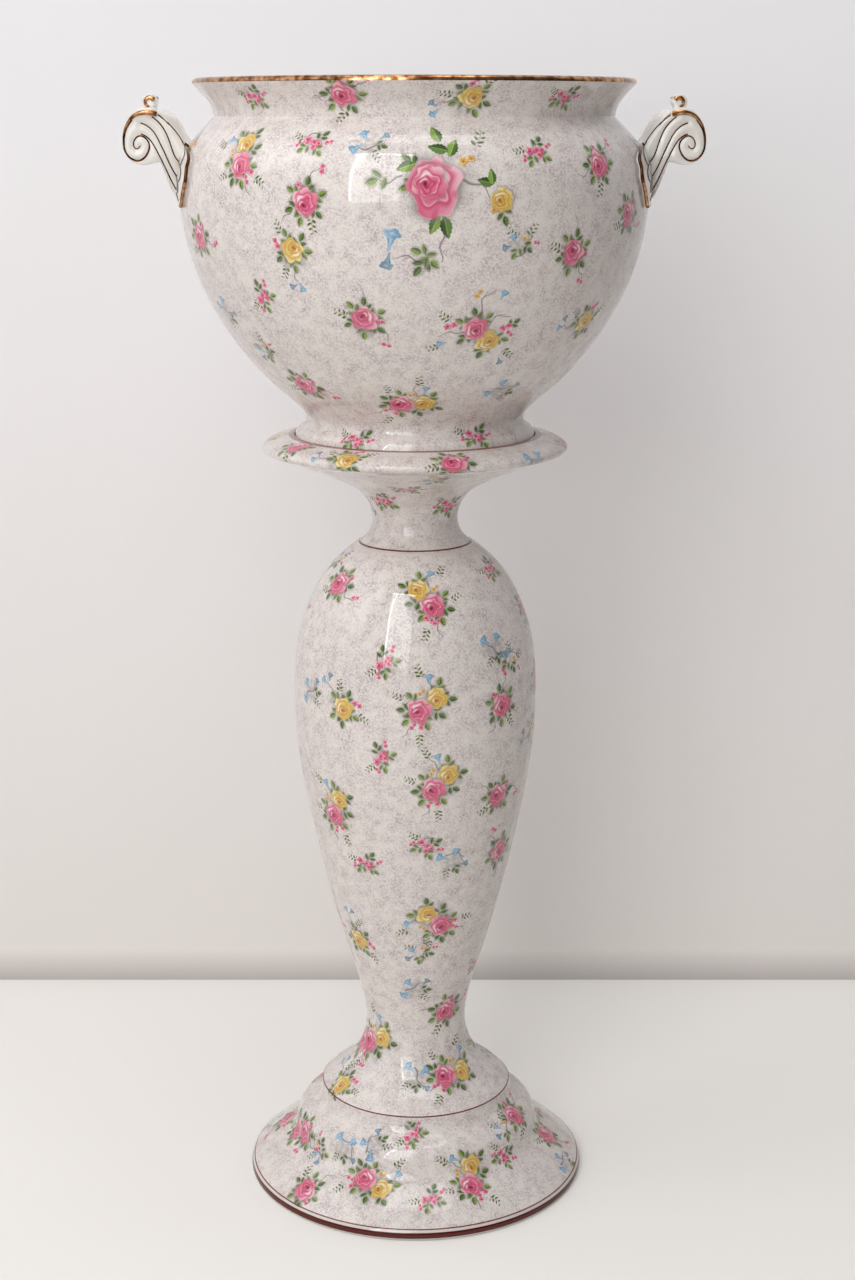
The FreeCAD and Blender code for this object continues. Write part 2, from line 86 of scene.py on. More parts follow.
class Graph:
    """A node tree, with one way to add a node and one way to write a formula."""

    OPERATORS = {ast.Add: "ADD", ast.Sub: "SUBTRACT", ast.Mult: "MULTIPLY", ast.Div: "DIVIDE"}
    FUNCTIONS = {
        "sqrt": "SQRT",
        "sin": "SINE",
        "cos": "COSINE",
        "atan2": "ARCTAN2",
        "abs": "ABSOLUTE",
        "min": "MINIMUM",
        "max": "MAXIMUM",
        "mod": "FLOORED_MODULO",
        "floor": "FLOOR",
    }
    COLOURS = {"data_type": "RGBA", "clamp_factor": True}

    def __init__(self, tree: bpy.types.NodeTree) -> None:
        """Take the tree that the nodes go into."""
        self.tree = tree

    def add(self, kind: str, settings: dict | None = None, inputs: dict | None = None) -> bpy.types.Node:
        """Add a node, with its settings and with its inputs linked or set.

        Args:
            kind: The node's type name, such as "ShaderNodeMath".
            settings: Property names and their values.
            inputs: Input names or numbers, each with a socket to link or a value to set.

        Returns:
            The new node.
        """
        node = self.tree.nodes.new(kind)
        for name, value in (settings or {}).items():
            setattr(node, name, value)
        for name, value in (inputs or {}).items():
            if isinstance(value, Socket):
                self.tree.links.new(value, node.inputs[name])
            else:
                node.inputs[name].default_value = value
        return node

    def work_out(self, formula: str, **known: Value) -> dict[str, Value]:
        """Turn lines such as "r = sqrt(x * x + y * y)" into nodes.

        Args:
            formula: One assignment a line, in sums, products and the functions above, and in
                clamp(value), which holds it from 0 to 1, and mix(share, colour, colour).
            known: Sockets, numbers or hex colours that the formula may use, by name.

        Returns:
            Every named value, the known ones among them.
        """
        for line in ast.parse(formula).body:
            known[line.targets[0].id] = self.term(line.value, known)
        return known

    def term(self, part: ast.expr, known: dict[str, Value]) -> Value:
        """Turn one part of a formula into nodes, or into a plain value.

        Args:
            part: The part.
            known: The values that it may name.

        Returns:
            The socket, number or colour that stands for the part.
        """
        if isinstance(part, ast.Constant):
            return float(part.value)
        if isinstance(part, ast.UnaryOp):
            return -self.term(part.operand, known)
        if isinstance(part, ast.Name):
            value = known[part.id]
            return linear(value) if isinstance(value, str) else value
        if isinstance(part, ast.BinOp):
            name, parts = self.OPERATORS[type(part.op)], (part.left, part.right)
        else:
            name, parts = part.func.id, part.args
        terms = [self.term(each, known) for each in parts]
        if name == "clamp":  # a Math node's own clamp runs out of the renderer's stack
            return self.add("ShaderNodeClamp", None, {"Value": terms[0]}).outputs[0]
        if name == "mix":
            return self.add("ShaderNodeMix", self.COLOURS, dict(zip((0, 6, 7), terms))).outputs[2]
        operation = {"operation": self.FUNCTIONS.get(name, name)}
        return self.add("ShaderNodeMath", operation, dict(enumerate(terms))).outputs[0]


# ------------------------------------------------------------------------- printed motifs


@dataclass(frozen=True)
class Motif:
    """One printed motif: the formula that draws it in a square from -1 to 1, and its inks.

    The formula knows x and y, and q, a random share from 0 to 1 that makes each stamp
    differ. It gives cover, where the ink lies, and a weight for each ink after the first.
    Each ink is its weight's name and its colour in the first and the second colourway.
    opacity is how much of the ground the ink hides, and reach how far up the square it goes.
    """

    name: str
    layers: int
    formula: str
    inks: tuple[tuple[str, str, str], ...]
    opacity: float = 1.0
    reach: float = 1.0

    def group(self) -> bpy.types.NodeTree:
        """Make the node group that draws the motif from a stamp's own coordinates.

        Returns:
            The group, which takes Place and gives Ink and Cover.
        """
        tree = bpy.data.node_groups.new(f"motif_{self.name}", "ShaderNodeTree")
        tree.interface.new_socket("Place", in_out="INPUT", socket_type="NodeSocketVector")
        tree.interface.new_socket("Ink", in_out="OUTPUT", socket_type="NodeSocketColor")
        tree.interface.new_socket("Cover", in_out="OUTPUT", socket_type="NodeSocketFloat")
        graph = Graph(tree)
        place = graph.add("NodeGroupInput").outputs["Place"]
        x, y, seed = graph.add("ShaderNodeSeparateXYZ", None, {0: place}).outputs
        drawn = graph.work_out(
            f"way = floor(seed)\nq = seed - way\n{self.formula}"
            "cover = opacity * cover * clamp((1 - abs(x)) * 30)",
            **{"x": x, "y": y, "seed": seed, "opacity": self.opacity},
        )
        _, one, other = self.inks[0]
        drawn = graph.work_out("ink = mix(way, one, other)", **drawn | {"one": one, "other": other})
        for name, one, other in self.inks[1:]:
            fresh = {"weight": drawn[name], "one": one, "other": other}
            drawn = graph.work_out("ink = mix(weight, ink, mix(way, one, other))", **drawn | fresh)
        graph.add("NodeGroupOutput", None, {"Ink": drawn["ink"], "Cover": drawn["cover"]})
        return tree


GHOST = Motif(
    name="ghost",
    layers=1,
    opacity=0.55,
    formula="""
r = sqrt(x * x + y * y)
a = atan2(y, x)
edge = 0.80 + 0.12 * cos(3 * a + 9 * q) + 0.10 * cos(7 * a - 5 * q)
cover = clamp((edge - r) * 2.6) * (0.6 + 0.4 * sin(11 * x + 5 * q) * sin(10 * y - 4 * q))
""",
    inks=(("base", "#8b8582", "#928d86"),),
)
STEM = Motif(
    name="stem",
    layers=2,
    opacity=0.85,
    reach=0.85,
    formula="""
bow = (q - 0.5) * 1.3 * (1 - x * x) + 0.10 * sin(5 * x + 9 * q)
thin = 0.075 - 0.02 * x
main = clamp((thin - abs(y - bow)) * 20) * clamp((0.96 - abs(x)) * 10)
twig = y - bow - 0.55 * (x - 0.1)
side = clamp((0.05 - abs(twig)) * 20) * clamp((x - 0.08) * 12) * clamp((0.62 - x) * 12)
cover = max(main, side)
""",
    inks=(("base", "#84757b", "#8f8684"),),
)
SPRIG = Motif(
    name="sprig",
    layers=2,
    reach=0.65,
    formula="""
above = clamp(y * 60)
c = mod(x + 1.1 + 0.26 * above, 0.52) - 0.26
bend = 0.10 * sin(3 * x + 6 * q)
s = abs(y - bend)
shrink = 0.9 - 0.35 * x
u = (0.5 * c + 0.87 * (s - 0.26)) / (0.31 * shrink)
w = (0.87 * c - 0.5 * (s - 0.26)) / (0.15 * shrink)
leaf = clamp((1 - sqrt(u * u + w * w)) * 4) * clamp((0.82 - abs(x)) * 12)
stalk = clamp(1 - s * 20) * clamp((0.95 - abs(x)) * 8)
cover = max(leaf, 0.8 * stalk)
lit = clamp(w * 3) * leaf
deep = clamp(0.2 - w) * leaf
""",
    inks=(("base", "#586c31", "#71795a"), ("lit", "#80924d", "#8f976f"), ("deep", "#33421d", "#4f5840")),
)
LEAF = Motif(
    name="leaf",
    layers=2,
    reach=0.62,
    formula="""
half = 0.46 * (1 - x * x) * (1.15 - 0.4 * x)
saw = 0.035 * sin(19 * x)
cover = clamp((half + saw * clamp(6 * half) - abs(y)) * 12)
rib = clamp(1 - abs(y) * 16) * clamp((0.8 - x) * 3) * 0.8
lit = clamp(y * 6 + 0.5 + 0.3 * sin(17 * x + 12 * abs(y)))
deep = clamp((abs(y) - half * 0.5) * 5) * (1 - lit)
""",
    inks=(
        ("base", "#527632", "#3c5d26"),
        ("lit", "#8aa84c", "#648443"),
        ("deep", "#2f4d1e", "#223c17"),
        ("rib", "#c3cb98", "#9fb07a"),
    ),
)
LEAVES = Motif(
    name="leaves",
    layers=3,
    formula="""
above = clamp(y * 60)
tip = (x - 0.45) / 0.52
first = 0.27 * (1 - tip * tip) * (1.1 - 0.35 * tip) - abs(y)
px = x + 0.10 + 0.26 * above
py = abs(y) - 0.37
run = (0.60 * px + 0.80 * py) / 0.46
off = 0.80 * px - 0.60 * py
second = 0.23 * (1 - run * run) - abs(off)
edge = max(first, second) + 0.025 * sin(31 * x + 23 * y + 9 * q)
stalk = clamp((0.035 - abs(y)) * 26) * clamp((x + 0.95) * 12) * clamp((0.3 - x) * 9)
solid = max(clamp(edge * 13), 0.8 * stalk)
halo = clamp(1 + edge * 4.5) * clamp((1 - sqrt(x * x + y * y)) * 4) * 0.5
cover = max(solid, halo)
shade = clamp(1 - solid * 2)
in_first = clamp(first * 20)
lit = clamp(0.4 + 7 * y + 0.4 * sin(23 * x + 8 * q)) * in_first + clamp(9 * off) * (1 - in_first)
deep = clamp(1 - edge * 9) * (1 - lit) * 0.8
rib = (clamp(1 - abs(y) * 22) * in_first + clamp(1 - abs(off) * 24) * clamp(second * 20)) * 0.6
""",
    inks=(
        ("base", "#566e2d", "#3d5722"),
        ("lit", "#89a048", "#65803c"),
        ("deep", "#2f4418", "#223413"),
        ("rib", "#aeb876", "#879a5b"),
        ("shade", "#857e79", "#817b74"),
    ),
)
PAIR = Motif(
    name="pair",
    layers=2,
    formula="""
ax = (x + 0.30) / 0.54
ay = (y - 0.22) / 0.50
bx = (x - 0.36) / 0.44
by = (y + 0.32) / 0.46
da = sqrt(ax * ax + ay * ay) + 0.12 * cos(5 * atan2(ay, ax) + 12 * q)
db = sqrt(bx * bx + by * by) + 0.12 * cos(4 * atan2(by, bx) - 9 * q)
d = min(da, db)
cover = clamp((1 - d) * 6)
lit = clamp((d - 0.5) * 3) * clamp(0.6 + 3 * y + 2 * x)
deep = clamp(1.25 - d * 2.8) + clamp((d - 0.7) * 4) * clamp(0.3 - 4 * y)
white = clamp(1 - abs(d - 0.55) * 6) * clamp(cos(3 * atan2(y, x) + 20 * q) * 3 - 1.5)
""",
    inks=(
        ("base", "#e06b8d", "#dcb063"),
        ("lit", "#f0a5b8", "#ecd48e"),
        ("deep", "#b83559", "#bd7840"),
        ("white", "#fbe4e8", "#f6ead0"),
    ),
)
BELL = Motif(
    name="bell",
    layers=2,
    reach=0.8,
    formula="""
flare = clamp((x + 0.85) / 1.4)
width = 0.13 + 0.46 * flare * flare
tube = clamp((width - abs(y)) * 10) * clamp((x + 0.85) * 10) * clamp((0.62 - x) * 10)
mx = (x - 0.52) / 0.38
my = y / 0.72
m = sqrt(mx * mx + my * my) + 0.13 * cos(4 * atan2(my, mx) + 9 * q)
mouth = clamp((1 - m) * 6)
cover = max(tube, mouth)
neck = tube * (1 - mouth)
lit = neck * clamp(1 - abs(y) / width * 2) + mouth * clamp((m - 0.4) * 2) * clamp(0.5 + 3 * y)
deep = max(clamp(1 - abs(m - 0.9) * 5) * mouth * clamp(0.4 - 2 * y), neck * clamp(abs(y) / width * 2 - 0.8))
white = clamp((0.42 - m) * 3) * 0.8
""",
    inks=(
        ("base", "#80a9c8", "#7390a9"),
        ("lit", "#add0e4", "#99b1c2"),
        ("deep", "#4576a3", "#45617f"),
        ("white", "#cfdad9", "#bfc9cf"),
    ),
)
ROSE = Motif(
    name="rose",
    layers=2,
    formula="""
px = x + 0.045 * sin(9 * y + 40 * q)
py = y + 0.045 * sin(10 * x - 31 * q)
r = sqrt(px * px + py * py)
a = atan2(py, px) + 6.2832 * q
lobe = cos(5 * a + 1.5 * r)
edge = 0.78 + 0.045 * lobe + 0.045 * cos(3 * a + 1.3) + 0.02 * cos(11 * a)
solid = clamp((edge - r) * 16)
sx = px - 0.05
sy = py + 0.07
halo = clamp(1 - (sqrt(sx * sx + sy * sy) - edge) * 6) * clamp((1 - r) * 5) * 0.55
cover = max(solid, halo)
shade = clamp(1 - solid * 2)
mx = px + 0.07
my = py - 0.08
m = sqrt(mx * mx + my * my)
b = atan2(my, mx)
petal = cos(5 * b - 20 * q + 3 * m)
mid = 0.54 + 0.055 * petal
hx = px + 0.13
hy = py - 0.13
h = sqrt(hx * hx + hy * hy)
c = atan2(hy, hx)
inner = 0.32 + 0.05 * cos(4 * c + 20 * q)
in_mid = clamp((mid - m) * 16)
in_heart = clamp((inner - h) * 16)
ring = in_mid * (1 - in_heart)
valley = clamp(-1.6 * lobe - 0.75) * clamp((r - 0.35) * 3)
under_mid = clamp(1 - (m - mid) * 7) * (1 - in_mid)
under_heart = clamp(1 - (h - inner) * 7) * ring
fold = clamp(cos(5 * b - 20 * q + 3 * m + 2.6) * 2 - 1.2) * ring
swirl = clamp(cos(2 * c + 10 * q - 28 * h) * 2) * in_heart
core = clamp(1.35 - h * 6.5)
low = clamp(-0.7 * (px + py) - 0.15) * clamp((r - 0.3) * 2) * 0.6
deep = max(max(0.7 * valley, 0.7 * under_mid), max(0.9 * under_heart, max(0.6 * fold, 0.75 * swirl)))
deep = max(deep, low)
rim = clamp(1 - abs(m - mid + 0.05) * 14) * ring
lit = max(clamp((r - 0.40) * 2.8) * (1 - in_mid) * clamp(0.6 + 0.6 * (px + py)), 0.85 * rim)
gleam = clamp(1 - abs(m - 0.42) * 9) * clamp(cos(b - 0.55) * 4 - 2.7)
glint = clamp(1 - abs(h - 0.22) * 13) * clamp(cos(c - 1.0) * 4 - 2.6)
white = max(gleam, 0.8 * glint)
""",
    inks=(
        ("base", "#e17693", "#e2c266"),
        ("lit", "#f6bfcc", "#f3e2a0"),
        ("deep", "#c43f67", "#c88f3d"),
        ("core", "#8e1c3e", "#b8634c"),
        ("white", "#fbe9ec", "#faf3da"),
        ("shade", "#857e79", "#817b74"),
    ),
)
MOTIFS = (GHOST, STEM, SPRIG, LEAVES, LEAF, BELL, PAIR, ROSE)


@dataclass(frozen=True)
class Stamp:
    """One motif of a spray: where its middle lies, its half size and how far it is turned.

    across and up are millimetres from the spray's middle, turn is in degrees from
    pointing right, way picks the first or the second colourway, and tall stretches it.
    """

    motif: Motif
    across: float
    up: float
    size: float
    turn: float = 0.0
    way: int = 0
    tall: float = 1.0


ROSE_ALONE = (
    Stamp(GHOST, 4, -3, 19, 20), Stamp(LEAVES, -10.4, 5.7, 8.4, 150),
    Stamp(LEAVES, -2.9, 11.4, 8.4, 105, 1), Stamp(LEAVES, 8.6, 8.6, 7.7, 48),
    Stamp(LEAVES, 11.4, -3.8, 8.2, -20, 1), Stamp(LEAVES, 2.9, -11.4, 8.4, -75),
    Stamp(LEAVES, -8.6, -7.6, 7.4, -140, 1), Stamp(SPRIG, -19, -2, 7.0, 172),
    Stamp(STEM, 16, -12, 9.0, -44), Stamp(STEM, -8, 18, 8.0, 120, 1), Stamp(PAIR, 21, -17, 4.6, 30),
    Stamp(PAIR, 11, 2, 5.0, 70), Stamp(ROSE, 0, 0, 13.4),
)
PINK_AND_YELLOW = (
    Stamp(GHOST, 7, -6, 24, 40), Stamp(GHOST, -12, 10, 13, 40), Stamp(LEAVES, -10.4, 5.7, 8.6, 155),
    Stamp(LEAVES, -3.8, 11.4, 8.4, 112, 1), Stamp(LEAVES, 7.6, 9.5, 7.7, 55),
    Stamp(LEAVES, -7.6, -8.6, 8.2, -135), Stamp(LEAVES, 2.9, -16.1, 8.2, -105, 1),
    Stamp(LEAVES, 17.1, -19.9, 8.4, -70, 1), Stamp(LEAVES, 24.7, -7.6, 8.4, 8),
    Stamp(STEM, -18, 3, 9.0, 165), Stamp(STEM, 24, 4, 9.0, 40, 1), Stamp(SPRIG, -24, -9, 6.5, 205),
    Stamp(SPRIG, 31, 12, 6.5, 38), Stamp(SPRIG, 5, 21, 6.0, 80, 1), Stamp(BELL, 27, 1, 5.4, 35),
    Stamp(PAIR, -11, -5, 5.4, 80), Stamp(PAIR, -14, 1, 4.4, 20), Stamp(PAIR, 15, 4, 4.2, 20, 1),
    Stamp(ROSE, 14.5, -10, 11.7, 40, 1), Stamp(ROSE, 0, 0, 13.2),
)
YELLOW_ALONE = (
    Stamp(GHOST, -2, 5, 18, 70), Stamp(LEAVES, -9.5, -4.8, 8.2, -155),
    Stamp(LEAVES, -2.9, -10.4, 8.2, -100, 1), Stamp(LEAVES, 8.6, -6.7, 7.7, -38),
    Stamp(LEAVES, 5.7, 9.5, 7.7, 62, 1), Stamp(LEAVES, -6.7, 9.5, 7.2, 130),
    Stamp(STEM, -10, 16, 9.0, 120), Stamp(BELL, -17, 23, 5.0, 140),
    Stamp(BELL, -11, 26, 4.6, 60, 1), Stamp(PAIR, 14, 3, 5.4, 10), Stamp(SPRIG, -1, 20, 6.4, 85),
    Stamp(SPRIG, 18, -10, 6.4, -30, 1), Stamp(ROSE, 0, 0, 12.1, 120, 1),
)
BUDS = (
    Stamp(GHOST, 2, -1, 12, 70), Stamp(STEM, 1, 2, 12, 28), Stamp(LEAVES, -6.7, -4.8, 6.7, -140),
    Stamp(LEAVES, 6.7, 6.7, 7.0, 40, 1), Stamp(LEAVES, 5.7, -6.7, 6.5, -50),
    Stamp(SPRIG, -13, 6, 6.0, 160), Stamp(PAIR, -2, 2, 7.2, 15), Stamp(PAIR, 3, -2, 5.6, 80),
    Stamp(PAIR, 13, 1, 4.0, 60), Stamp(PAIR, -12, -1, 3.6, 100),
)
BELLS = (
    Stamp(GHOST, 0, -3, 15, 30, 1), Stamp(STEM, 2, -3, 12, -62), Stamp(BELL, -5, 6, 6.6, 128),
    Stamp(BELL, 6, 3, 6.2, 40), Stamp(BELL, 8, -11, 4.8, -35, 1),
    Stamp(SPRIG, -9, -10, 6.0, -130, 1), Stamp(LEAVES, 0, -11.4, 6.0, -95, 1),
)
LEAFY = (
    Stamp(GHOST, 1, 0, 13, 10, 1), Stamp(STEM, 0, 0, 13, 52), Stamp(SPRIG, -8, 7, 6.5, 140),
    Stamp(SPRIG, 9, 10, 6.5, 58, 1), Stamp(LEAVES, -3.8, -7.6, 6.7, -115),
    Stamp(LEAVES, 5.7, -3.8, 6.5, -40, 1), Stamp(BELL, -11, -3, 4.8, 190, 1),
    Stamp(BELL, -6, 3, 4.6, 120), Stamp(PAIR, 4, 3, 3.8, 20, 1), Stamp(PAIR, 13, 0, 3.2, 20),
)
LONG_SPRAY = (
    Stamp(GHOST, 3, -2, 25, 0), Stamp(GHOST, 6, 22, 13, 0, 1), Stamp(STEM, 4, 24, 12, 84),
    Stamp(STEM, 18, 8, 11, 28), Stamp(STEM, -16, -8, 11, 200, 1), Stamp(PAIR, -7, 29, 5.0, 100, 1),
    Stamp(BELL, 13, 31, 5.4, 75), Stamp(LEAVES, -3.8, 11.4, 8.6, 118, 1),
    Stamp(LEAVES, 5.7, 10.4, 7.9, 60), Stamp(LEAVES, -11.4, 3.8, 7.9, 160),
    Stamp(LEAVES, 12.3, -19.9, 8.9, -95, 1), Stamp(LEAVES, 24.7, -5.7, 7.9, 0),
    Stamp(LEAVES, -5.7, -10.4, 7.7, -125, 1), Stamp(LEAVES, 30.4, 9.5, 6.7, 40, 1),
    Stamp(PAIR, -20, 0, 6.2, 70), Stamp(PAIR, 24, 5, 6.2, 75), Stamp(PAIR, 30, 0, 4.4, 10),
    Stamp(SPRIG, -27, 7, 6.6, 160), Stamp(BELL, -21, -17, 5.0, 200),
    Stamp(SPRIG, -27, -22, 6.2, 205), Stamp(SPRIG, 36, -19, 7.0, -30),
    Stamp(BELL, 31, -27, 4.8, -60, 1), Stamp(ROSE, 13.5, -9.5, 12.7, 200, 1),
    Stamp(ROSE, 0, 0, 13.2, 160),
)
GREAT_ROSE = (
    Stamp(GHOST, 3, 2, 36, 10), Stamp(GHOST, 30, 33, 17, 80), Stamp(GHOST, -8, -44, 20, 50, 1),
    Stamp(LEAF, 2, 42, 8.4, 112), Stamp(LEAF, 3, 29, 8.4, 172, 1), Stamp(LEAF, 14, 30, 8.4, 62),
    Stamp(LEAF, -21, 15, 8.0, 200), Stamp(LEAVES, -17.1, 19, 9.6, 130, 1),
    Stamp(LEAVES, -19, 0.9, 8.9, -160), Stamp(LEAF, 0, -27, 8.2, -120),
    Stamp(LEAF, 9, -29, 9.0, -72, 1), Stamp(STEM, -34, 9, 12, 190),
    Stamp(LEAVES, -41.8, 5.7, 10.8, 190), Stamp(PAIR, 24, 20, 7.4, 60, 1),
    Stamp(STEM, 31, -2, 14, -24), Stamp(LEAF, 38, 4, 7.0, 170, 1), Stamp(LEAF, 43, 8, 6.4, 95),
    Stamp(LEAVES, 53.2, -20.9, 8.9, -80, 1), Stamp(STEM, 6, -42, 14, -100),
    Stamp(STEM, -16, -55, 14, 160), Stamp(LEAVES, -9.5, -47.5, 9.6, 150),
    Stamp(LEAVES, -9.5, -58, 10.1, -130, 1), Stamp(LEAVES, -1.9, -53.2, 9.1, -50),
    Stamp(BELL, -32, -38, 10.0, 78), Stamp(BELL, -34, -53, 8.0, -96, 1),
    Stamp(SPRIG, 34, 38, 9.0, 60, 1), Stamp(ROSE, 51, -9, 11.6, 60, 1),
    Stamp(PAIR, 47, -16, 6.4, 40, 1), Stamp(ROSE, 0, 0, 25.2, 0, 0, 1.14),
    Stamp(ROSE, -3.5, 3.5, 16.5, 70),
)


@dataclass(frozen=True)
class Spray:
    """A spray laid on a turned piece.

    azimuth is in degrees from the viewer towards +X, height is the world height of its
    middle, turn is in degrees, and mirrored swaps its left and right.
    """

    stamps: tuple[Stamp, ...]
    azimuth: float
    height: float
    turn: float = 0.0
    mirrored: bool = False


# ------------------------------------------------------------------------------- finishes


@dataclass(frozen=True)
class Gilding:
    """Burnished gold, brushed on over the glaze, fired and rubbed.

    The eye gets a warm, cloudy glint that goes brown where the brush ran thin.
    """

    name: str
    bright: str
    deep: str
    cloud_mm: float = 6.0
    roughness: float = 0.2

    def material(self) -> bpy.types.Material:
        """Make the gold's material."""
        material = bpy.data.materials.new(self.name)
        graph = new_graph(material)
        here = graph.add("ShaderNodeTexCoord").outputs["Object"]
        noise = {"Vector": here, "Scale": 1 / (self.cloud_mm * MM), "Detail": 3.0}
        cloud = graph.add("ShaderNodeTexNoise", None, noise).outputs["Fac"]
        known = {"cloud": cloud, "deep": self.deep, "bright": self.bright}
        drawn = graph.work_out("tone = mix(clamp((cloud - 0.38) * 4), deep, bright)", **known)
        finish(graph, {"Base Color": drawn["tone"], "Metallic": 1.0, "Roughness": self.roughness})
        return material


@dataclass(frozen=True)
class WhiteGlaze:
    """Plain clear lead glaze over a cream body.

    The eye gets a warm white, glossy and faintly uneven, with wavering reflections.
    """

    pale: str = "#f1eeea"
    warm: str = "#e4dfd8"
    cloud_mm: float = 30.0
    roughness: float = 0.09
    ripple_mm: float = 14.0
    ripple: float = 0.12

    def material(self) -> bpy.types.Material:
        """Make the plain glaze's material."""
        material = bpy.data.materials.new("clear_glaze_on_cream_earthenware")
        graph = new_graph(material)
        here = graph.add("ShaderNodeTexCoord").outputs["Object"]
        noise = {"Vector": here, "Scale": 1 / (self.cloud_mm * MM), "Detail": 4.0}
        cloud = graph.add("ShaderNodeTexNoise", None, noise).outputs["Fac"]
        known = {"cloud": cloud, "warm": self.warm, "pale": self.pale}
        drawn = graph.work_out("tone = mix(clamp((cloud - 0.35) * 3), warm, pale)", **known)
        shader = {
            "Base Color": drawn["tone"],
            "Roughness": self.roughness,
            "Normal": rippled(graph, here, self.ripple_mm, self.ripple),
        }
        finish(graph, shader)
        return material


@dataclass(frozen=True)
class PaintedLine:
    """An enamel line brushed on while the piece turns on a wheel."""

    height: float
    half_width: float
    ink: str
    least_radius: float = 0.0


@dataclass(frozen=True)
class PrintedGlaze:
    """Rose chintz under a clear glaze: pale mottled ground, small sprays, painted lines.

    The eye gets a soft print well below a sharp, slightly rippled gloss. The ground's grain
    is drawn as coarse as the render shows it.
    """

    paper: str = "#eae1da"
    cool: str = "#cabbba"
    worm: str = "#efe9e5"
    grain: str = "#a39093"
    mottle_mm: float = 10.0
    worm_mm: float = 2.6
    grain_mm: float = 1.2
    roughness: float = 0.045
    ripple_mm: float = 20.0
    ripple: float = 0.22
    lines: tuple[PaintedLine, ...] = (
        PaintedLine(667.0, 0.75, "#8d5148", 100.4),
        PaintedLine(575.0, 0.65, "#6d2a22"),
        PaintedLine(572.9, 0.9, "#e4ddd5"),
        PaintedLine(82.2, 0.6, "#74281f"),
        PaintedLine(9.9, 0.5, "#7a352c", 130.0),
        PaintedLine(8.5, 0.9, "#ded7d0", 130.0),
        PaintedLine(5.2, 2.6, "#560f08", 130.0),
        PaintedLine(1.0, 1.9, "#d9d2ca", 130.0),
    )

    def ground(self, graph: Graph, here: Socket) -> Socket:
        """Draw the mottled ground: cool clouds, a fine grain and pale worming.

        Args:
            graph: The material's graph.
            here: The object coordinates.

        Returns:
            The ground's colour.
        """
        sizes = {"cloud": self.mottle_mm, "worm": self.worm_mm, "grain": self.grain_mm}
        noise = {
            name: graph.add(
                "ShaderNodeTexNoise", None, {"Vector": here, "Scale": 1 / (mm * MM), "Detail": 2.0}
            ).outputs["Fac"]
            for name, mm in sizes.items()
        }
        inks = {"paper": self.paper, "cool": self.cool, "speck": self.grain, "pale": self.worm}
        drawn = graph.work_out(
            """
clouds = clamp((cloud - 0.34) * 2.6)
worms = clamp(1.15 - abs(worm - 0.5) * 13) * 0.9
grains = clamp((grain - 0.45) * 5) * (0.16 + 0.38 * clouds)
ground = mix(worms, mix(grains, mix(clouds, paper, cool), speck), pale)
""",
            **noise,
            **inks,
        )
        return drawn["ground"]

    def material(self) -> bpy.types.Material:
        """Make the printed glaze's material."""
        material = bpy.data.materials.new("rose_chintz_under_clear_glaze")
        graph = new_graph(material)
        here = graph.add("ShaderNodeTexCoord").outputs["Object"]
        colour = self.ground(graph, here)
        for motif in MOTIFS:
            group = motif.group()
            for layer in range(motif.layers):
                attribute = {"attribute_name": layer_name(motif, layer)}
                place = graph.add("ShaderNodeAttribute", attribute).outputs["Vector"]
                drawn = graph.add("ShaderNodeGroup", {"node_tree": group}, {"Place": place})
                over = {"under": colour, "ink": drawn.outputs["Ink"], "cover": drawn.outputs["Cover"]}
                colour = graph.work_out("colour = mix(cover, under, ink)", **over)["colour"]
        x, y, z = graph.add("ShaderNodeSeparateXYZ", None, {0: here}).outputs
        known = graph.work_out("r = 1000 * sqrt(x * x + y * y)\nz = 1000 * z", x=x, y=y, z=z)
        text = "colour = mix(clamp((half - abs(z - at)) * 4) * clamp((r - least) * 8), colour, ink)"
        for line in self.lines:
            known |= {"half": line.half_width, "at": line.height, "least": line.least_radius}
            colour = graph.work_out(text, **known | {"colour": colour, "ink": line.ink})["colour"]
        shader = {
            "Base Color": colour,
            "Roughness": self.roughness,
            "Normal": rippled(graph, here, self.ripple_mm, self.ripple),
        }
        finish(graph, shader)
        return material


def new_graph(material: bpy.types.Material) -> Graph:
    """Empty a material's node tree.

    Args:
        material: The material.

    Returns:
        Its node tree, as a graph.
    """
    material.use_nodes = True
    material.node_tree.nodes.clear()
    return Graph(material.node_tree)


def finish(graph: Graph, shader: dict[str, Socket | float]) -> None:
    """End a material's graph in one Principled shader with these inputs."""
    surface = graph.add("ShaderNodeBsdfPrincipled", None, shader).outputs["BSDF"]
    graph.add("ShaderNodeOutputMaterial", None, {"Surface": surface})


def rippled(graph: Graph, here: Socket, ripple_mm: float, strength: float) -> Socket:
    """Return a normal with the slow, level ripples that a potter's profile tool leaves.

    Args:
        graph: The material's graph.
        here: The object coordinates.
        ripple_mm: The height of one ripple.
        strength: How strongly the ripples bend the light.

    Returns:
        The normal socket.
    """
    squash = {"Vector": here, "Scale": (0.35, 0.35, 1.0)}
    level = graph.add("ShaderNodeMapping", None, squash).outputs["Vector"]
    noise = {"Vector": level, "Scale": 1 / (ripple_mm * MM), "Detail": 1.0, "Roughness": 0.4}
    height = graph.add("ShaderNodeTexNoise", None, noise).outputs["Fac"]
    bump = {"Height": height, "Strength": strength, "Distance": 0.9 * MM}
    return graph.add("ShaderNodeBump", None, bump).outputs["Normal"]


def layer_name(motif: Motif, layer: int) -> str:
    """Return the name of the attribute that holds one layer of a motif's stamps."""
    return f"{motif.name}_{layer}"


# --------------------------------------------------------------------------- turned pieces


class Coat(Enum):
    """What covers a stretch of a turned piece. The value is its material slot."""

    PRINTED = 0
    PLAIN = 1
    GILT = 2


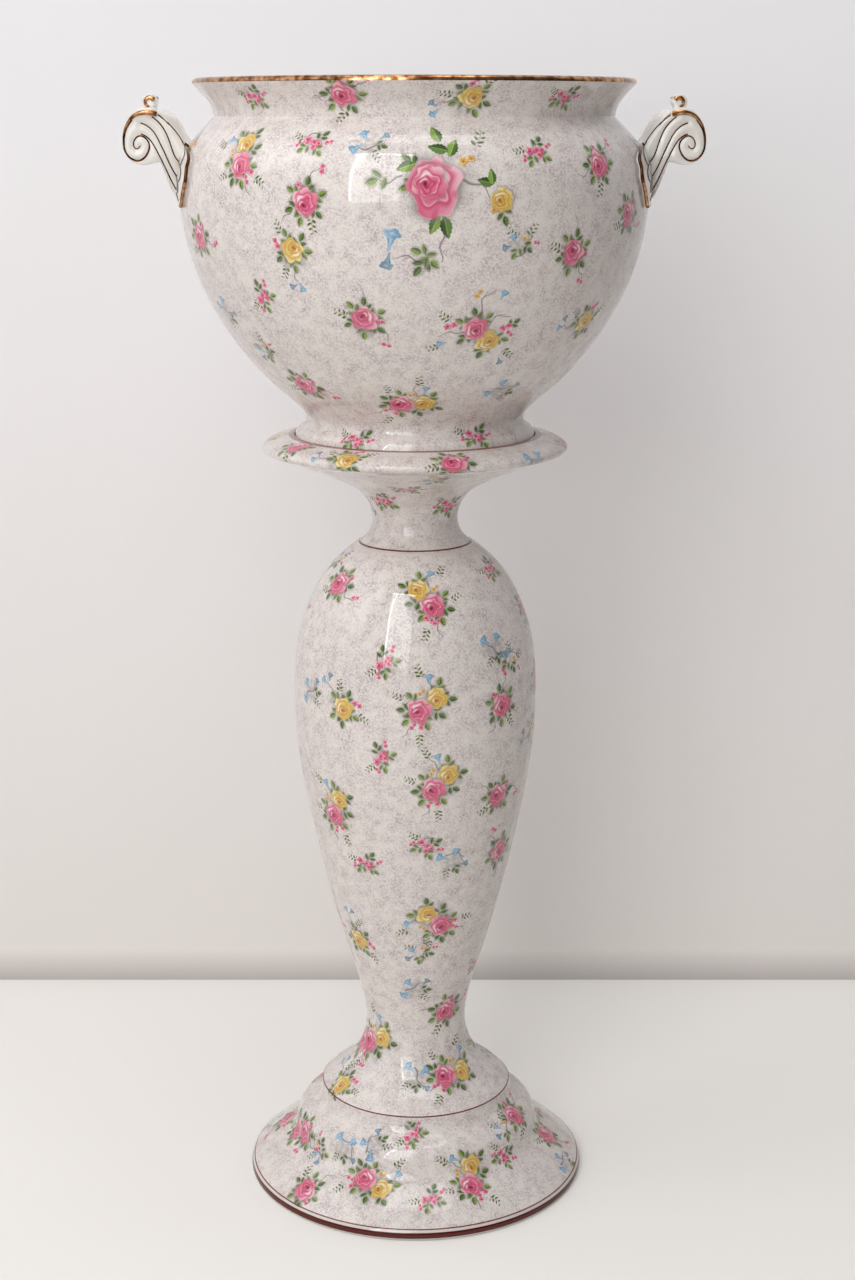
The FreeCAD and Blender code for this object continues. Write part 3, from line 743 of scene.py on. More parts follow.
@dataclass(frozen=True)
class Stretch:
    """One stretch of a profile: two spots are a line, and more control one smooth curve."""

    spots: Curve
    coat: Coat = Coat.PRINTED
    step: float = 3.0

    def points(self) -> list[Spot]:
        """Return evenly spaced points along the stretch, without its last one."""
        line = spline(self.spots)
        lengths = np.concatenate([[0.0], np.cumsum(np.hypot(*np.diff(line, axis=0).T))])
        count = max(1, round(lengths[-1] / self.step))
        along = np.linspace(0.0, lengths[-1], count + 1)[:-1]
        return list(zip(*(np.interp(along, lengths, line[:, axis]) for axis in (0, 1))))


def spline(controls: Curve, samples: int = 240) -> np.ndarray:
    """Return points along a clamped cubic B-spline, or the two ends of a line.

    Args:
        controls: Two ends of a line, or four or more control points.
        samples: How many points to work out.

    Returns:
        The points, one a row.
    """
    poles = np.array(controls, float)
    if len(poles) == 2:
        return poles
    spans = len(poles) - 3
    knots = np.concatenate([[0.0] * 3, np.linspace(0, spans, spans + 1), [float(spans)] * 3])
    out = []
    for place in np.linspace(0, spans, samples):
        first = min(int(place), spans - 1)
        near = [poles[first + k] for k in range(4)]
        for level in (1, 2, 3):
            for k in range(3, level - 1, -1):
                low, high = knots[first + k], knots[first + k + 4 - level]
                share = (place - low) / (high - low)
                near[k] = (1 - share) * near[k - 1] + share * near[k]
        out.append(near[3])
    return np.array(out)


@dataclass(frozen=True)
class TurnedPiece:
    """A piece of pottery turned about the stand's axis, with its coats and its sprays.

    The profile runs from the underside up the outside and back down the inside. A closed
    one ends where it starts, and an open one starts and ends on the axis. steps is how many
    faces go round, strips how many strips the flat map folds the outside into, and crease
    the angle in degrees past which an edge stays sharp.
    """

    name: str
    body: str
    profile: tuple[Stretch, ...]
    steps: int
    sprays: tuple[Spray, ...]
    strips: int
    closed: bool = True
    crease: float = 38.0

    def build(self, finishes: Sequence[bpy.types.Material]) -> bpy.types.Object:
        """Spin the profile, coat it and lay the print.

        Args:
            finishes: The finishes in the order of Coat.

        Returns:
            The finished object.
        """
        points: list[Spot] = []
        coats: list[int] = []
        for stretch in self.profile:
            fresh = stretch.points()
            points += fresh
            coats += [stretch.coat.value] * len(fresh)
        if not self.closed:
            points.append(self.profile[-1].spots[-1])
            coats.append(coats[-1])
        mesh = self.spin(points)
        for finish_material in finishes:
            mesh.materials.append(finish_material)
        transfer = Transfer(mesh, np.array(points), np.array(coats))
        transfer.unfold(self.strips)
        for spray in self.sprays:
            for turn in (0.0, 180.0):
                transfer.lay(spray, spray.azimuth + turn)
        transfer.keep()
        piece = link(bpy.data.objects.new(self.name, mesh))
        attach(piece, self.body)
        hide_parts(self.name)
        log.info("%s: %d faces, %d stamps", self.name, len(mesh.polygons), transfer.laid)
        return piece

    def spin(self, points: Sequence[Spot]) -> bpy.types.Mesh:
        """Spin the profile a full turn into a mesh whose vertices know their ring.

        Args:
            points: The profile's points.

        Returns:
            The mesh.
        """
        bm = bmesh.new()
        ring = bm.verts.layers.int.new("ring")
        verts = []
        for index, (radius, height) in enumerate(points):
            verts.append(bm.verts.new((radius * MM, 0.0, height * MM)))
            verts[-1][ring] = index
        ends = verts[1:] + verts[:1] if self.closed else verts[1:]
        edges = [bm.edges.new(pair) for pair in zip(verts, ends)]
        bmesh.ops.spin(
            bm,
            geom=verts + edges,
            axis=(0.0, 0.0, 1.0),
            angle=FULL_TURN,
            steps=self.steps,
            use_merge=True,
        )
        bmesh.ops.remove_doubles(bm, verts=bm.verts, dist=SAME_SPOT)
        bmesh.ops.recalc_face_normals(bm, faces=bm.faces)
        mesh = bpy.data.meshes.new(self.name)
        bm.to_mesh(mesh)
        bm.free()
        mesh.shade_smooth()
        mesh.set_sharp_from_angle(angle=math.radians(self.crease))
        return mesh


class Transfer:
    """The print on one turned mesh: each stamp is laid into the corners of the faces under it.

    A stamp's own coordinates, from -1 to 1 over its square, go into a layer of its motif,
    and a layer holds many stamps that do not overlap.
    """

    REACH = 75.0  # no spray reaches further from its middle
    LEAST_SHOWN = 0.8  # a stamp that finds less free room than this share is left out
    OUTSIDE_SHARE = 0.84  # of the map's height
    GAP = 0.006  # between the map's strips
    CLOSING = 9.0  # the way from the last ring of a closed profile back to its first
    BARE = (9.0, 9.0, 0.0)  # far off every stamp's square, where nothing is drawn
    NEAREST = 3.0  # a face whose middle is this near a stamp's middle is always taken
    SLACK = 9.0  # how many degrees a stamp may be out of true

    def __init__(self, mesh: bpy.types.Mesh, points: np.ndarray, coats: np.ndarray) -> None:
        """Unroll the mesh: find each corner's turn about the axis and its way up the wall.

        Args:
            mesh: The spun mesh, whose faces get their coats here.
            points: The profile's points.
            coats: The coat of the stretch after each point.
        """
        self.mesh = mesh
        self.rng = random.Random(mesh.name)
        self.laid = 0
        self.points = points
        self.along = np.concatenate([[0.0], np.cumsum(np.hypot(*np.diff(points, axis=0).T))])
        corner = read(mesh.loops, "vertex_index", np.int32)
        spot = read(mesh.vertices, "co", np.float32, 3)[corner] / MM
        ring = read(mesh.attributes["ring"].data, "value", np.int32)[corner]
        self.starts = read(mesh.polygons, "loop_start", np.int32)
        low, high = (f.reduceat(ring, self.starts) for f in (np.minimum, np.maximum))
        self.ring = ring
        self.wrapped = high - low > 1
        coat = coats[np.where(self.wrapped, high, low)]
        mesh.polygons.foreach_set("material_index", coat.astype(np.int32))
        self.printed = coat == Coat.PRINTED.value
        self.azimuth = np.degrees(np.arctan2(spot[:, 0], -spot[:, 1]))
        self.radius = np.hypot(spot[:, 0], spot[:, 1])
        self.height = self.along[ring]
        self.layers = {
            layer_name(motif, layer): np.tile(np.array(self.BARE, np.float32), (len(corner), 1))
            for motif in MOTIFS
            for layer in range(motif.layers)
        }
        self.used = {name: np.zeros(len(self.starts), bool) for name in self.layers}
        self.outside = np.flatnonzero(coats == Coat.PRINTED.value)

    def unfold(self, strips: int) -> None:
        """Fold the wall out flat, as the map that a texture is baked to.

        The printed outside lies in strips, one above another, and the rest in one more
        strip along the top.

        Args:
            strips: How many strips the outside takes.
        """
        counts = np.diff(np.append(self.starts, len(self.azimuth)))
        first = np.repeat(self.azimuth[self.starts], counts)
        angle = first + (self.azimuth - first + 180.0) % 360.0 - 180.0
        middle = np.add.reduceat(angle, self.starts) / counts
        printed = np.repeat(self.printed, counts)
        wide = np.where(self.printed, 360.0 / strips, 360.0)
        strip = np.floor(middle % 360.0 / wide)
        left = np.repeat(np.floor(middle / 360.0) * 360.0 + strip * wide, counts)
        across = (angle - left) / np.repeat(wide, counts)
        ring = self.ring.astype(float)
        ring[np.repeat(self.wrapped, counts) & (self.ring == 0)] = len(self.points)
        along = np.append(self.along, self.along[-1] + self.CLOSING)[ring.astype(int)]
        low, high = (f(self.along[self.outside]) for f in (np.min, np.max))
        up = np.where(printed, (along - low) / (high - low), along / (self.along[-1] + self.CLOSING))
        row = np.repeat(np.where(self.printed, strip, strips), counts)
        tall = self.OUTSIDE_SHARE / strips
        start = row * tall
        height = np.where(printed, tall, 1.0 - self.OUTSIDE_SHARE) - self.GAP
        spots = np.column_stack([self.GAP + across * (1 - 2 * self.GAP), start + up.clip(0, 1) * height])
        layer = self.mesh.uv_layers.new(name="OFBake")
        layer.data.foreach_set("uv", spots.astype(np.float32).ravel())

    def unroll(self, corners: np.ndarray, azimuth: float, height: float) -> np.ndarray:
        """Return where corners lie from a spot on the wall, as complex millimetres."""
        turn = (self.azimuth[corners] - azimuth + 180.0) % 360.0 - 180.0
        return np.radians(turn) * self.radius[corners] + 1j * (self.height[corners] - height)

    def lay(self, spray: Spray, azimuth: float) -> None:
        """Lay one spray.

        Args:
            spray: The spray.
            azimuth: Where its middle lies, in degrees from the viewer towards +X.
        """
        rings = self.outside
        nearest = rings[np.argmin(np.abs(self.points[rings, 1] - spray.height))]
        height = self.along[nearest]
        middle = self.unroll(self.starts, azimuth, height)
        near = np.flatnonzero(self.printed & (np.abs(middle) < self.REACH))
        corners = self.starts[near][:, None] + np.arange(4)
        spots = self.unroll(corners, azimuth, height)
        side = -1 if spray.mirrored else 1
        turned = np.exp(1j * math.radians(spray.turn))
        for stamp in spray.stamps:
            centre = complex(side * stamp.across, stamp.up) * turned
            turn = 180 - stamp.turn if spray.mirrored else stamp.turn
            wobble = 0 if stamp.tall != 1.0 else self.rng.uniform(-self.SLACK, self.SLACK)
            heading = np.exp(1j * math.radians(turn + spray.turn + wobble))
            local = (spots - centre) / heading / stamp.size
            local = local.real + 1j * local.imag / stamp.tall
            reach = stamp.motif.reach
            inside = (np.abs(local.real) < 1.0) & (np.abs(local.imag) < reach)
            whole = inside.any(axis=1) | (np.abs(local.mean(axis=1)) < self.NEAREST / stamp.size)
            self.print_stamp(stamp, near[whole], corners[whole], local[whole])

    def print_stamp(
        self, stamp: Stamp, faces: np.ndarray, corners: np.ndarray, local: np.ndarray
    ) -> None:
        """Write one stamp into the layer of its motif with the most room for it.

        Args:
            stamp: The stamp.
            faces: The faces under it.
            corners: Their corners, a row for each face.
            local: The stamp's own coordinates at those corners.
        """
        seed = stamp.way + self.rng.uniform(0.02, 0.98)
        names = [layer_name(stamp.motif, layer) for layer in range(stamp.motif.layers)]
        taken = {name: self.used[name][faces].sum() for name in names}
        name = min(names, key=taken.get)
        if not len(faces) or taken[name] > (1 - self.LEAST_SHOWN) * len(faces):
            return
        free = ~self.used[name][faces]
        self.used[name][faces] = True
        ids, spots = corners[free].ravel(), local[free].ravel()
        self.layers[name][ids] = np.column_stack([spots.real, spots.imag, np.full(len(ids), seed)])
        self.laid += 1

    def keep(self) -> None:
        """Keep the layers as attributes of the mesh's corners."""
        for name, values in self.layers.items():
            attribute = self.mesh.attributes.new(name, "FLOAT_VECTOR", "CORNER")
            attribute.data.foreach_set("vector", values.ravel())


def read(items: bpy.types.bpy_prop_collection, name: str, kind: type, width: int = 1) -> np.ndarray:
    """Read one property of many mesh items at once.

    Args:
        items: The items.
        name: The property's name.
        kind: The kind of number that it holds.
        width: How many numbers it holds.

    Returns:
        The numbers, with a row for each item if there are several.
    """
    values = np.empty(len(items) * width, kind)
    items.foreach_get(name, values)
    return values.reshape(-1, width) if width > 1 else values


def link(piece: bpy.types.Object) -> bpy.types.Object:
    """Put an object into the scene."""
    bpy.context.scene.collection.objects.link(piece)
    return piece


# ---------------------------------------------------------------------------- the profiles

IN = Coat.PLAIN  # what isn't printed: the inside, and the seats that meet
FOOT = TurnedPiece(
    name="pedestal_foot",
    body="stand",
    steps=300,
    strips=3,
    profile=(
        Stretch(((137, 0), (146, 0)), IN, 9),
        Stretch(((146, 0), (150.3, 0), (150.3, 7.3), (146.5, 10)), step=1.2),
        Stretch(((146.5, 10), (135.5, 20), (118.5, 31), (107.5, 38.5), (107.5, 44))),
        Stretch(((107.5, 44), (107.5, 54.5), (98, 64.5), (84, 69), (84, 78))),
        Stretch(((84, 78), (75, 78)), IN, 9),
        Stretch(((75, 78), (75, 61), (92, 57), (98.5, 50), (98.5, 44)), IN, 9),
        Stretch(((98.5, 44), (98.5, 33), (112, 25), (128, 14), (137, 8), (137, 0)), IN, 9),
    ),
    sprays=(
        Spray(ROSE_ALONE, -67.2, 48, 30), Spray(BELLS, -36.4, 56, 10), Spray(BELLS, -21.7, 59, 140),
        Spray(PINK_AND_YELLOW, -22.2, 34, 12), Spray(ROSE_ALONE, -45, 19, -60),
        Spray(PINK_AND_YELLOW, 23.9, 31, 110), Spray(BUDS, -1.5, 68, 60), Spray(BUDS, 6.1, 26, 30),
        Spray(ROSE_ALONE, 64.7, 64, 70), Spray(ROSE_ALONE, 82.2, 31, -20),
        Spray(BELLS, 72.8, 16, 60), Spray(BUDS, 45, 40, -30), Spray(LEAFY, 52, 62, 10),
        Spray(LEAFY, -52, 45, 100), Spray(ROSE_ALONE, 103, 40, 10),
    ),
)
COLUMN = TurnedPiece(
    name="pedestal_column",
    body="stand",
    steps=260,
    strips=1,
    profile=(
        Stretch(((75, 78), (84, 78)), IN, 9),
        Stretch(((84, 78), (84, 82)), step=2),
        Stretch(((84, 82), (70.5, 95.5), (52.5, 103.5), (44, 129.5), (44, 144))),
        Stretch(((44, 144), (44, 160), (59, 207), (74.5, 259.5), (91, 331), (104, 399.5), (104, 445))),
        Stretch(((104, 445), (104, 487), (92, 521), (77, 554.5), (50, 574))),
        Stretch(((50, 574), (39.5, 574)), IN, 9),
        Stretch(((39.5, 574), (39.5, 566), (68, 548), (84, 515), (95, 483), (95, 445)), IN, 12),
        Stretch(((95, 445), (95, 399.5), (82, 331), (65.5, 259.5), (50, 207), (35, 160), (35, 144)), IN, 12),
        Stretch(((35, 144), (35, 129.5), (43.5, 110), (61.5, 97), (75, 90), (75, 78)), IN, 9),
    ),
    sprays=(
        Spray(ROSE_ALONE, -54.3, 546, 20), Spray(PINK_AND_YELLOW, 10.3, 537, -87, True),
        Spray(BUDS, -14, 493, 60), Spray(BELLS, 41.1, 502, 20),
        Spray(PINK_AND_YELLOW, 2.2, 453, 70), Spray(YELLOW_ALONE, -34.4, 450, 10),
        Spray(ROSE_ALONE, 43.9, 451, 120), Spray(BUDS, -15.5, 412, 70),
        Spray(PINK_AND_YELLOW, 8.9, 386, 80), Spray(PINK_AND_YELLOW, -46.1, 354, 95),
        Spray(ROSE_ALONE, 45.4, 370, 30), Spray(BUDS, -28.7, 313, 10), Spray(BUDS, 5.7, 331, -20),
        Spray(BELLS, 20.1, 318, 30), Spray(ROSE_ALONE, 55.5, 315, 160),
        Spray(PINK_AND_YELLOW, 17.1, 253, 170), Spray(YELLOW_ALONE, -47.9, 230, -20),
        Spray(BELLS, -2.1, 187, 90), Spray(ROSE_ALONE, 35.5, 162, 60),
        Spray(PINK_AND_YELLOW, -62.1, 126, 60), Spray(BELLS, -57.6, 458, 100),
        Spray(BUDS, 64.3, 556, 20), Spray(LEAFY, 52.2, 486, -40),
        Spray(PINK_AND_YELLOW, 27.5, 106, 35), Spray(YELLOW_ALONE, -61.3, 91, 30),
        Spray(BELLS, 0.7, 108, 0), Spray(LEAFY, 4.3, 228, 20), Spray(ROSE_ALONE, 84, 520, 40),
        Spray(YELLOW_ALONE, 78, 415, 60), Spray(PINK_AND_YELLOW, 92, 375, 100),
        Spray(ROSE_ALONE, 82, 460, 10), Spray(BUDS, 84, 300, 0), Spray(ROSE_ALONE, 95, 255, 0),
        Spray(LEAFY, 100, 560, 0), Spray(ROSE_ALONE, 100, 120, 0), Spray(BUDS, 70, 200, 0),
    ),
)
SAUCER = TurnedPiece(
    name="pedestal_saucer",
    body="stand",
    steps=282,
    strips=3,
    profile=(
        Stretch(((39.5, 574), (48.5, 574)), IN, 9),
        Stretch(((48.5, 574), (45, 577), (36, 582.5), (36, 596))),
        Stretch(((36, 596), (36, 604), (44, 620.5), (62.5, 629), (113, 649.5))),
        Stretch(((113, 649.5), (124.5, 652), (128.5, 655), (127.5, 659.5), (117, 665), (101, 667)), step=1.8),
        Stretch(((101, 667), (101, 661)), IN, 2),
        Stretch(((101, 661), (20, 661)), IN, 9),
        Stretch(((20, 661), (20, 651)), IN, 5),
        Stretch(((20, 651), (90, 651)), IN, 14),
        Stretch(((90, 651), (58, 637), (38, 626), (27, 610), (27, 596)), IN, 9),
        Stretch(((27, 596), (27, 584), (36, 580), (39.5, 574)), IN, 9),
    ),
    sprays=(
        Spray(YELLOW_ALONE, -25.9, 662, 60), Spray(ROSE_ALONE, 14.6, 661, 10),
        Spray(ROSE_ALONE, -56.1, 665, 90), Spray(LEAFY, 10, 643, 60), Spray(BUDS, -36.7, 616, 20),
        Spray(BUDS, 42.2, 611, -10), Spray(BELLS, 50, 655, 20), Spray(PINK_AND_YELLOW, 84, 655, 80),
        Spray(BUDS, -5, 630, 0), Spray(ROSE_ALONE, 70, 630, 0), Spray(BELLS, 100, 612, 0),
    ),
)
BOWL = TurnedPiece(
    name="bowl",
    body="bowl",
    steps=400,
    strips=2,
    closed=False,
    profile=(
        Stretch(((0, 667), (88, 667)), IN, 22),
        Stretch(((88, 667), (88, 661)), IN, 3),
        Stretch(((88, 661), (100, 661)), IN, 6),
        Stretch(((100, 661), (100, 666)), step=2.5),
        Stretch(((100, 666), (100, 672), (92, 676), (90.5, 679), (90.5, 682)), step=2),
        Stretch(((90.5, 682), (90.5, 685), (99, 695), (142.5, 728.5), (190.5, 811), (190.5, 866))),
        Stretch(((190.5, 866), (190.5, 884.5), (183.5, 904), (170, 915.5), (162, 924)), step=2.6),
        Stretch(((162, 924), (162, 934), (171.5, 942), (178.5, 949.5)), step=2.2),
        Stretch(((178.5, 949.5), (178.5, 954.83), (170.5, 954.83), (170.5, 949.5)), Coat.GILT, 1.0),
        Stretch(((170.5, 949.5), (163.5, 942), (154, 934), (154, 924)), IN, 3),
        Stretch(((154, 924), (162, 915.5), (175.5, 904), (182.5, 884.5), (182.5, 866)), IN, 6),
        Stretch(((182.5, 866), (182.5, 815), (136, 736), (94, 703), (80, 677), (62, 677)), IN, 10),
        Stretch(((62, 677), (0, 677)), IN, 20),
    ),
    sprays=(
        Spray(GREAT_ROSE, 4.7, 874), Spray(BUDS, -24.3, 905, 0), Spray(BELLS, -10.9, 905, 80),
        Spray(PINK_AND_YELLOW, -43.8, 889, 130), Spray(ROSE_ALONE, -24.7, 862, 100),
        Spray(YELLOW_ALONE, -29, 827, 150), Spray(BUDS, -41.2, 790, 60),
        Spray(ROSE_ALONE, -12.7, 777, -20), Spray(LONG_SPRAY, 16.5, 768, -10),
        Spray(BUDS, 29.5, 899, 20), Spray(ROSE_ALONE, 48.2, 888, 80), Spray(LEAFY, 25.3, 833, 0),
        Spray(ROSE_ALONE, 40.5, 823, -20), Spray(PINK_AND_YELLOW, -5, 705, 40),
        Spray(ROSE_ALONE, -43.2, 718, 10), Spray(YELLOW_ALONE, 54.7, 769, 60),
        Spray(BUDS, -45.5, 938, 10), Spray(ROSE_ALONE, -17.7, 940, 75),
        Spray(YELLOW_ALONE, 14.7, 938, 80), Spray(BUDS, 42.1, 938, 0), Spray(BUDS, -28.9, 673, 0),
        Spray(BUDS, 31.1, 675, 0), Spray(ROSE_ALONE, -63.1, 834, 30), Spray(BELLS, -62.9, 776, 40),
        Spray(ROSE_ALONE, 61, 850, 20), Spray(LEAFY, -52, 745, 30), Spray(BELLS, 33, 716, 70),
        Spray(PINK_AND_YELLOW, 80, 800, 60), Spray(ROSE_ALONE, 98, 760, 0),
        Spray(LONG_SPRAY, 92, 850, 0), Spray(BUDS, 75, 720, 0), Spray(BELLS, 75, 900, 0),
        Spray(YELLOW_ALONE, 104, 900, 0), Spray(BUDS, 100, 700, 0),
    ),
)


# ------------------------------------------------------------------------- scroll handles


@dataclass(frozen=True)
class GiltLine:
    """A gilt line on a handle's cheek: its X and Z, its half width at each end, its kind."""

    spots: Curve
    start: float = 0.6
    end: float = 0.6
    bold: bool = False
    grooved: bool = True


def ring(centre: Spot, radius: float, first: float, last: float, count: int = 9) -> Curve:
    """Return spots on an arc.

    Args:
        centre: Its middle.
        radius: Its radius.
        first: The angle that it starts at, in degrees from +X towards +Z.
        last: The angle that it ends at.
        count: How many spots it has.

    Returns:
        The spots.
    """
    angles = np.radians(np.linspace(first, last, count))
    return tuple((centre[0] + radius * math.cos(a), centre[1] + radius * math.sin(a)) for a in angles)


SPIRAL = (
    (225.2, 921.4), (230.5, 914.5), (232.2, 906.3), (231.9, 898), (228.7, 892.5), (223, 889.3),
    (218.1, 890), (213.8, 893.8), (211.3, 899.4), (211.7, 903.5), (213.8, 906.9), (218.1, 909.4),
    (221.6, 908.3), (224.1, 904.9), (224.5, 900.7), (222.3, 898.3), (219.9, 899.4), (218.8, 901.4),
)
INNER_EDGE = ((218.1, 910.4), (213.8, 909), (209.6, 904.9), (206, 898), (203.9, 893.5))
FIRST_RIDGE = (
    (203.9, 925.2), (199.6, 922.1), (194.7, 917.6), (189, 910.4), (184.4, 903.1), (181.5, 898.7),
    (180.6, 894.5), (181.9, 890.4), (185.1, 886.6),
)
SECOND_RIDGE = (
    (208.9, 923.9), (204.6, 920.7), (201, 916.6), (198.2, 911.8), (195.7, 905.6), (193.9, 899.4),
    (191.8, 893.1), (189, 889), (185.4, 886.2), (183.7, 882.8), (184, 878), (185.8, 874.5),
    (187.9, 873.1),
)
THIRD_RIDGE = (
    (218.1, 919), (213.8, 917.6), (209.6, 914.5), (206, 909.7), (202.5, 902.1), (198.9, 894.5),
    (195.4, 885.5), (191.8, 878), (187.9, 873.1), (187.6, 869.7), (188.1, 865.2),
)
STRAP_EDGE = ((203.9, 893.5), (199.6, 884.2), (196.1, 874.5), (192.5, 867.6), (190.4, 863.5), (187.6, 859.3))
CREST = (
    (232.2, 906.3), (231.6, 913.2), (228, 920.1), (223, 925.2), (217.4, 927.3), (211, 927.3),
    (205.3, 926.3),
)
ROOT = (
    (183.3, 903), (179, 899.8), (176.2, 895.2), (175.5, 890.4), (178.3, 884.9), (177.6, 880),
    (179, 874.5), (181.9, 868.3), (182.6, 860), (185.2, 853.8),
)
CURL = (212.4, 935.2)


@dataclass(frozen=True)
class ScrollHandle:
    """A handle: a broad strap that rolls into a volute, with gilding along its ridges.

    Its spots are for the right handle. The left one is its mirror image. The strap is
    crowned between its cheeks, and its root spreads over the bowl as a thin, wavy pad.
    """

    name: str
    side: int
    grain: float = 1.2
    groove: float = 2.0
    spread: float = 2.4
    half_width: float = 29.0
    back_crown: float = 6.0
    under_crown: float = 5.0
    back_run: Spot = (179.0, 208.0)  # from X to X
    under_run: Spot = (856.0, 898.0)  # from height to height
    shoulder: float = 895.0  # the back is crowned above this height
    sponging: int = 5
    pad: float = 2.4
    sunk: float = 2.0  # how far the pad goes into the bowl's wall
    tuck: float = 1.5  # how far the pad stops short of the strap's edge
    pad_rows: int = 34
    pad_columns: int = 16
    lines: tuple[GiltLine, ...] = (
        GiltLine(SPIRAL, 1.1, 0.5),
        GiltLine(INNER_EDGE),
        GiltLine(FIRST_RIDGE),
        GiltLine(SECOND_RIDGE),
        GiltLine(THIRD_RIDGE),
        GiltLine(STRAP_EDGE),
        GiltLine(CREST, 0.9, 2.3, bold=True, grooved=False),
        GiltLine(ROOT[:7], 1.2, 1.5, grooved=False),
        GiltLine(ROOT[6:], 1.5, 1.6, bold=True, grooved=False),
        GiltLine(ring(CURL, 3.8, -80, 150), 1.2, 2.2, bold=True, grooved=False),
    )

    def build(self, glaze: bpy.types.Material, gold: bpy.types.Material, thin: bpy.types.Material) -> None:
        """Carve the handle, spread its root and lay its gilding.

        Args:
            glaze: The finish of the handle.
            gold: The finish of the bold gilding.
            thin: The finish of the thin gilt lines.
        """
        body = self.clay()
        trees = [tree_of(body)]
        dress(body, glaze, "bowl", self.name)
        for cheek, word in ((-1, "near"), (1, "far")):
            pad = self.root(cheek, f"{self.name}_root_{word}")
            trees.append(tree_of(pad))
            dress(pad, glaze, "bowl")
            for number, line in enumerate(self.lines, 1):
                gilt = self.gild(line, cheek, trees, f"{self.name}_gilt_{word}_{number}")
                dress(gilt, gold if line.bold else thin, "bowl")
        log.info("%s: %d faces", self.name, len(body.data.polygons))

    def clay(self) -> bpy.types.Object:
        """Return the handle's body, softened and crowned, with grooves under its gilt lines."""
        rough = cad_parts[self.name].data.copy()
        bm = bmesh.new()
        bm.from_mesh(rough)
        bmesh.ops.remove_doubles(bm, verts=bm.verts, dist=SAME_SPOT)
        bm.to_mesh(rough)
        bm.free()
        draft = link(bpy.data.objects.new(f"{self.name}_clay", rough))
        remesh = draft.modifiers.new("even_grain", "REMESH")
        remesh.mode, remesh.voxel_size = "VOXEL", self.grain * MM
        smooth = draft.modifiers.new("sponged", "SMOOTH")
        smooth.factor, smooth.iterations = 0.5, self.sponging
        mesh = made(draft)
        bpy.data.objects.remove(draft)
        mesh.materials.clear()
        spots = read(mesh.vertices, "co", np.float32, 3).astype(float) / MM
        normals = read(mesh.vertices, "normal", np.float32, 3)
        flat = np.column_stack([spots[:, 0] * self.side, spots[:, 2]])
        depth = np.zeros(len(spots))
        for line in self.lines:
            if line.grooved:
                near = distance(flat, np.array(line.spots))
                depth = np.maximum(depth, self.groove * np.exp(-near / self.spread))
        cheek = np.clip(np.abs(normals[:, 1]) * 2 - 0.6, 0, 1)
        middle = np.clip(1 - (spots[:, 1] / self.half_width) ** 2, 0, 1)
        up = (normals[:, 2] - normals[:, 0] * self.side) * math.sqrt(0.5)
        across, height = flat.T
        (low_x, high_x), (low_z, high_z) = self.back_run, self.under_run
        back = np.sin(np.pi * np.clip((across - low_x) / (high_x - low_x), 0, 1)) * (height > self.shoulder)
        under = np.sin(np.pi * np.clip((height - low_z) / (high_z - low_z), 0, 1)) * (across < high_x)
        push = self.back_crown * back * np.clip(up * 2, 0, 1)
        push = middle * (push - self.under_crown * under * np.clip(-up * 2, 0, 1))
        spots[:, 1] -= np.sign(spots[:, 1]) * depth * cheek
        spots[:, 0] -= push * math.sqrt(0.5) * self.side
        spots[:, 2] += push * math.sqrt(0.5)
        mesh.vertices.foreach_set("co", (spots * MM).astype(np.float32).ravel())
        mesh.shade_smooth()
        mesh.update()
        return link(bpy.data.objects.new(self.name, mesh))

    def root(self, cheek: int, name: str) -> bpy.types.Object:
        """Spread one half of the root over the bowl, out to its wavy edge.

        Args:
            cheek: -1 for the half towards the viewer, and 1 for the one behind.
            name: The new piece's name.

        Returns:
            The pad of clay.
        """
        edge, wall = spline(ROOT), bowl_wall()
        bm = bmesh.new()
        bmesh.ops.create_grid(bm, x_segments=self.pad_columns - 1, y_segments=self.pad_rows - 1, size=1.0)
        for vert in bm.verts:
            right, up = (vert.co.x + 1) / 2, (vert.co.y + 1) / 2
            height = edge[-1, 1] + 0.2 + up * (edge[0, 1] - edge[-1, 1] - 0.4)
            radius = float(np.interp(height, *wall)) + self.pad
            start = np.interp(-height, -edge[:, 1], edge[:, 0])
            x = start + right * (math.sqrt(radius**2 - (self.half_width - self.tuck) ** 2) - start)
            vert.co = Vector((self.side * x, cheek * math.sqrt(radius**2 - x * x), height)) * MM
        bmesh.ops.recalc_face_normals(bm, faces=bm.faces)
        bm.faces.ensure_lookup_table()
        first = bm.faces[0]
        first.normal_update()
        if first.normal.y * cheek < 0:
            bmesh.ops.reverse_faces(bm, faces=bm.faces)
        bmesh.ops.solidify(bm, geom=bm.faces, thickness=(self.pad + self.sunk) * MM)
        bmesh.ops.recalc_face_normals(bm, faces=bm.faces)
        mesh = bpy.data.meshes.new(name)
        bm.to_mesh(mesh)
        bm.free()
        mesh.shade_smooth()
        mesh.set_sharp_from_angle(angle=math.radians(50))
        return link(bpy.data.objects.new(name, mesh))

